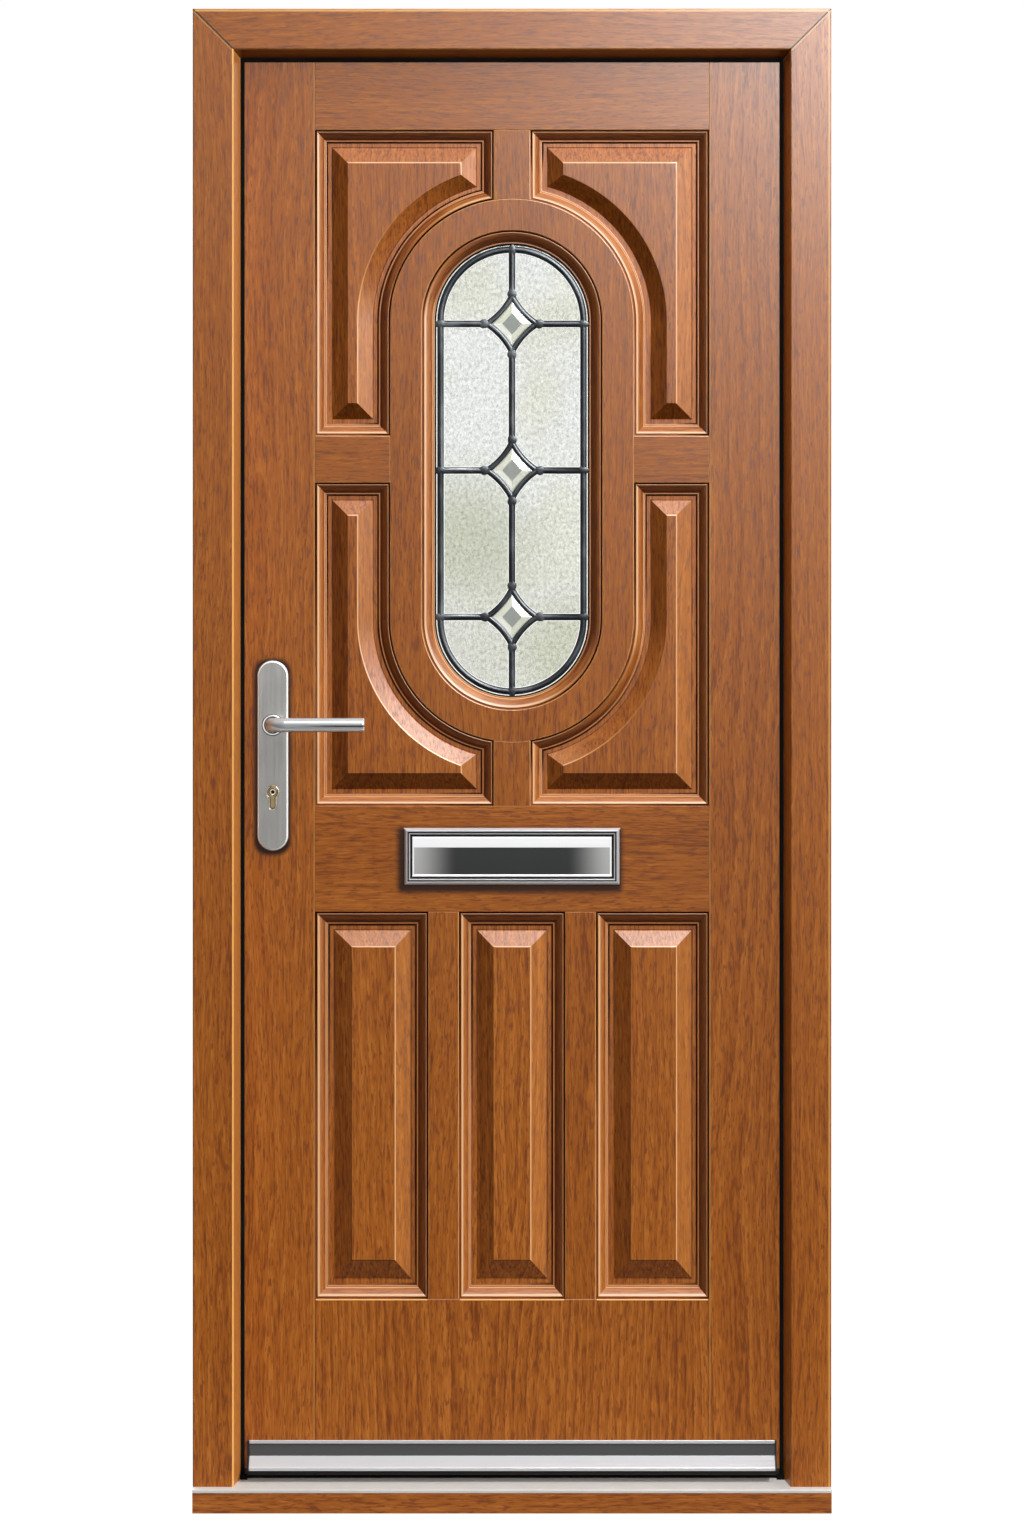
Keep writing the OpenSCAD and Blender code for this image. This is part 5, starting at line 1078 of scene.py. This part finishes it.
def cut_diamonds():
    """Three bevelled diamonds. Each is three rhombi, given by half width, half height and how far they stand proud of
    the pane: the flat middle, the bevel's foot under the lead, and the back. Flat faces close the front and back."""
    size = np.array([[*DIAMOND_FLAT, 0.0040], [0.0280, 0.0320, 0.0008], [0.0280, 0.0320, 0.00005]])
    corner = np.array([[0, 1], [-1, 0], [0, -1], [1, 0]])
    across = size[:, None, :2] * corner
    level = np.broadcast_to(PANE_LOW.y - size[:, None, 2], across.shape[:2])
    one = np.stack([across[..., 0], level, across[..., 1] + OVAL_Z], -1).reshape(-1, 3)
    points = one[None] + np.array([0, 0, DIAMOND_STEP]) * np.arange(-1, 2)[:, None, None]
    caps = np.array([[0, 1, 2, 3], [8, 9, 10, 11]])
    piece = make_piece("cut_diamonds", points, repeated(grid_quads(3, 4), len(one), 3), "leaf",
                       DIAMOND, caps=repeated(caps, len(one), 3), crease=4)
    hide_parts("bevelled_diamonds")


def corner_pads():
    """A rubber pad in each lower corner of the frame, in front of the leaf's foot: two rectangles joined round."""
    low, high = np.array([0.364, -0.0060, 0.0405]), np.array([0.3765, 0.0030, 0.0478])
    ring = np.array([[0, 0, 0], [1, 0, 0], [1, 0, 1], [0, 0, 1], [0, 1, 0], [1, 1, 0], [1, 1, 1], [0, 1, 1]])
    one = low + ring * (high - low)
    caps = np.arange(8).reshape(2, 4)
    make_piece("sill_corner_pads", np.stack([one, one * [-1, 1, 1]]), repeated(grid_quads(2, 4), 8, 2), "frame",
               SEAL, caps=repeated(caps, 8, 2), crease=CREASE)


def turned_heads(name, body, centres, side, radius, turns):
    """Screw heads in one piece, looking to one side: rings go from the middle of a low dome out to its rim, down and
    back to the middle underneath. Two crossed slots are sunk where a point is within a slot's half width of either
    one."""
    proud, slot_depth, under = 0.0002, 0.0011, [-0.0012, -0.0012]
    slot_half, slot_end = 0.16 * radius, 0.62 * radius
    outward = np.array([side, 0.0, 0.0])
    level = np.cross(outward, (0.0, 0.0, 1.0))
    upward = np.cross(level, outward)
    share = np.linspace(0, 1, 15)
    reach = (np.concatenate([share, [1.0, 0.0]]) * radius)[:, None]
    spoke = np.arange(48) / 48 * 2 * math.pi
    across = np.minimum(np.abs(np.sin(spoke)), np.abs(np.cos(spoke))) * reach
    sunk = (np.clip((slot_half - across) / (0.5 * slot_half), 0, 1)
            * np.clip((slot_end - reach) / (0.1 * radius), 0, 1))
    sunk[-2:] = 0
    rise = np.concatenate([proud * (1 - 0.75 * share ** 2), under])[:, None] - slot_depth * sunk
    angle = spoke + np.asarray(turns)[:, None, None]
    points = (np.asarray(centres)[:, None, None] + (reach * np.cos(angle))[..., None] * level
              + (reach * np.sin(angle))[..., None] * upward + rise[..., None] * outward)
    quads = repeated(grid_quads(*rise.shape), rise.size, len(centres))
    make_piece(f"{name}_{body}", points, quads, body, BOLT_STEEL)


def hinge_screws():
    """Four countersunk screws in each plate of the three hinges, in two staggered columns."""
    leaf_edge, hinge_gap, plate_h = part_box("hinge_stile")[1].x, 0.003, 0.102
    level = np.array([-0.037, -0.0125, 0.0125, 0.037])
    column = np.array([0.0235, 0.0345, 0.0235, 0.0345])
    for node, body, side, face in (("hinge_leaf_plates", "leaf", 1, leaf_edge),
                                   ("hinge_jamb_plates", "frame", -1, leaf_edge + hinge_gap)):
        low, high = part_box(node)
        hinge = low.z + plate_h / 2 + (high.z - low.z - plate_h) / 2 * np.arange(3)
        z = (hinge[:, None] + level).ravel()
        centres = np.stack([np.full_like(z, face), np.tile(column, 3), z], -1)
        turns = np.random.default_rng(3 + side).uniform(0, 1.5, len(z))
        turned_heads("hinge_screws", body, centres, side, 0.0042, turns)


def lock_screws():
    """Two countersunk screws each in the lock's faceplate and in the strike plate."""
    for node, body, side, inset in (("lock_case", "leaf", -1, 0.010), ("strike_plate", "frame", 1, 0.008)):
        low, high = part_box(node)
        face = low.x if side < 0 else high.x
        middle = (low.y + high.y) / 2
        centres = np.array([[face, middle, low.z + inset], [face, middle, high.z - inset]])
        turned_heads("lock_screws", body, centres, side, 0.0040, [0.4, 1.1])


def crossings(x, z, half_w, half_h):
    """Rows of place, half width and half height for solder at every pair of places across and up."""
    return np.stack(np.broadcast_arrays(x, z, half_w, half_h), -1).reshape(-1, 4)


def soldered_joints():
    """Solder where lead strips cross: each is a low dome on an oval foot, its height falling as one minus the
    square of the reach, with a slightly uneven rim."""
    dome, bedded, under = 0.0006, 0.0004, [-0.0012, -0.0012]
    sides = np.array([[-1], [1]])
    middles = DIAMOND_STEP * np.arange(-1, 2)
    tip_x, tip_z, top = 0.038, 0.042, PANE_STRAIGHT + BORDER_R
    joints = np.concatenate([crossings(BORDER_R * sides, middles, 0.0078, 0.0056),
                             crossings(0.0, -top * sides, 0.0058, 0.0072),
                             crossings(0.0, middles + tip_z * sides, 0.0062, 0.0075),
                             crossings(tip_x * sides, middles, 0.0075, 0.0062)])
    share = np.linspace(0, 1, 8)
    reach = np.concatenate([share, [1.0, 0.0]])[:, None]
    rise = np.concatenate([dome * (1 - share ** 2), under])[:, None]
    spoke = np.arange(28) / 28 * 2 * math.pi
    rim = reach * (1 + 0.07 * np.sin(3 * spoke + 1.7 * np.arange(len(joints))[:, None, None]))
    x, z, half_w, half_h = joints.T[..., None, None]
    points = np.stack(np.broadcast_arrays(x + half_w * rim * np.cos(spoke), LEAD_LOW.y + bedded - rise,
                                          OVAL_Z + z + half_h * rim * np.sin(spoke)), -1)
    quads = repeated(grid_quads(len(reach), len(spoke)), len(reach) * len(spoke), len(joints))
    make_piece("soldered_joints", points, quads, "leaf", LEAD)


def glazing_line():
    """A line of dark sealant between the outside bead and the pane: a small oval section carried round the light."""
    sight_r, half_w, half_d, proud = 0.1055, 0.0011, 0.0009, 0.0006
    turn = np.linspace(0, math.pi, 64)[:, None]
    section = np.arange(10) / 10 * 2 * math.pi
    radius = sight_r + half_w * np.cos(section)
    top = np.stack([radius * np.cos(turn), PANE_STRAIGHT + radius * np.sin(turn)], -1)
    path = np.concatenate([top, -top, top[:1]])
    level = np.broadcast_to(PANE_LOW.y - proud + half_d * np.sin(section), path.shape[:2])
    points = np.stack([path[..., 0], level, OVAL_Z + path[..., 1]], -1)
    make_piece("glazing_sealant", points, grid_quads(*path.shape[:2]), "leaf", SEAL)


hammered_pane()
cut_diamonds()
corner_pads()
hinge_screws()
lock_screws()
soldered_joints()
glazing_line()


# Camera, floor and light

# The camera's distance from the frame's face, the face's place, the camera's height and the height that it takes in
FACE_OFF, FRAME_FACE, EYE_Z, VIEW_H = 11.0, -0.0475, 1.0200, 2.1043


def set_camera():
    """A level camera square to the door, far enough off to be nearly without perspective."""
    lens = bpy.data.cameras.new("photo_camera")
    lens.sensor_fit = "VERTICAL"
    lens.sensor_width, lens.sensor_height = 16, 24
    lens.lens = lens.sensor_height * FACE_OFF / VIEW_H
    lens.clip_end = 60
    camera = bpy.data.objects.new("photo_camera", lens)
    camera.location = (0, FRAME_FACE - FACE_OFF, EYE_Z)
    camera.rotation_euler = (math.radians(90), 0, 0)
    bpy.context.scene.collection.objects.link(camera)
    bpy.context.scene.camera = camera


def ray(tree, kind):
    """One for rays of a kind, and nought for others."""
    return wired(tree, "ShaderNodeLightPath", {}, f"Is {kind} Ray")


def set_floor():
    """A plain pale floor under and behind the door."""
    mesh = bpy.data.meshes.new("floor")
    mesh.from_pydata([(-5, -0.7, 0), (5, -0.7, 0), (5, 6, 0), (-5, 6, 0)], [], [(0, 1, 2, 3)])
    floor = bpy.data.objects.new("floor", mesh)
    material = bpy.data.materials.new("pale_floor")
    material.use_nodes = True
    tree = material.node_tree
    shader = tree.nodes["Principled BSDF"]
    shade = mottle(object_place(tree), 3.0, 3)
    feed(shader.inputs["Base Color"], blend(shade, (0.30, 0.30, 0.30, 1), (0.34, 0.34, 0.34, 1)))
    feed(shader.inputs["Roughness"], 0.8)
    feed(shader.inputs["Specular IOR Level"], 0.0)
    glow = wired(tree, "ShaderNodeEmission", {"Color": (1, 1, 1, 1), "Strength": 1.1})
    mix = {0: most(ray(tree, "Camera"), ray(tree, "Transmission")), 1: Field(shader.outputs[0]), 2: glow}
    feed(tree.nodes["Material Output"].inputs[0], wired(tree, "ShaderNodeMixShader", mix))
    mesh.materials.append(material)
    bpy.context.scene.collection.objects.link(floor)


def set_room():
    """A soft studio room as a sky: bright above, pale behind the door, dim level with the camera."""
    world = bpy.data.worlds.new("studio")
    bpy.context.scene.world = world
    world.use_nodes = True
    tree = world.node_tree
    tree.nodes.clear()
    toward = wired(tree, "ShaderNodeTexCoord", {}, "Generated")
    way = parts(toward)
    bright = between(way["Z"], 0.10, 0.60, 0.0, 0.26) + between(abs(way["X"]), 0.30, 0.75, 0.0, 0.14) + 0.07
    front = bright * between(way["Z"], -0.25, 0.0, 0.35, 1.0)
    grey = wired(tree, "ShaderNodeCombineColor", {0: front, 1: front, 2: front})
    cloud = between(mottle(toward, 9.0, 3, 0.6), 0.35, 0.65)
    pale = blend(cloud, (1.04, 1.05, 0.99, 1), (1.28, 1.28, 1.30, 1))
    off = length(way["X"], way["Z"])
    aside = between(off, 0.03, 0.30, 1.0, 0.55) + between(off, 0.32, 0.50, 0.0, 0.45)
    dimmed = wired(tree, "ShaderNodeVectorMath", {0: pale, "Scale": aside}, operation="SCALE")
    behind = most(between(way["Y"], 0.0, 0.35), ray(tree, "Transmission"))
    light = wired(tree, "ShaderNodeBackground", {"Color": blend(behind, grey, dimmed), "Strength": 1.0})
    seen = wired(tree, "ShaderNodeBackground", {"Color": (1, 1, 1, 1), "Strength": 1.05})
    mix = wired(tree, "ShaderNodeMixShader", {0: ray(tree, "Camera"), 1: light, 2: seen})
    feed(add(tree, "ShaderNodeOutputWorld").inputs[0], mix)


def set_light(name, kind, place, target, power, size, diffuse=True, glossy=True, shadow=True, casters=()):
    """One studio light, turned to a target. Where casters are named, only they cast its shadows."""
    light = bpy.data.lights.new(name, kind)
    light.energy = power
    light.use_shadow = shadow
    if kind == "AREA":
        light.shape = "RECTANGLE"
        light.size, light.size_y = size
    else:
        light.angle = size
    lamp = bpy.data.objects.new(name, light)
    lamp.location = place
    lamp.rotation_euler = (Vector(target) - lamp.location).to_track_quat("-Z", "Y").to_euler()
    lamp.visible_diffuse = diffuse
    lamp.visible_glossy = glossy
    lamp.visible_camera = lamp.visible_transmission = False
    bpy.context.scene.collection.objects.link(lamp)
    if casters:
        blockers = bpy.data.collections.new(name + "_casters")
        for caster in casters:
            blockers.objects.link(nodes[caster])
        lamp.light_linking.blocker_collection = blockers


set_camera()
set_floor()
set_room()
BAR = ("weather_bar", "weather_bar_caps")
set_light("raking_light", "SUN", 10 * SUNWARD, (0, 0, 0), 2.3, 0.10, glossy=False, casters=(*BAR, "bottom_rail"))
set_light("soft_rake", "SUN", 10 * SUNWARD, (0, 0, 0), 1.85, 0.7, glossy=False,
          casters=("outside_backplate", "letter_frame", "cylinder_body", *BAR, *LEAF_BOARDS))
set_light("side_fill", "AREA", (0.7, -1.7, 2.4), (0.0, 0, 1.3), 19, (0.9, 0.9), glossy=False, shadow=False)
set_light("sheen_panel", "AREA", (1.15, -3.0, 2.95), (0.2, 0, 1.6), 330, (1.4, 1.2), diffuse=False, shadow=False)
set_light("bevel_sheen", "AREA", (0.8, -2.3, 3.9), (0.1, 0, 1.3), 92, (2.4, 1.2), diffuse=False, shadow=False)
set_light("side_sheen", "AREA", (2.6, -2.6, 2.7), (0.0, 0, 1.5), 75, (1.2, 1.6), diffuse=False, shadow=False)
set_light("inside_key", "AREA", (-2.0, 3.6, 3.0), (0, 0, 1.1), 160, (2.2, 2.2))
bpy.context.scene.view_settings.view_transform = "Standard"
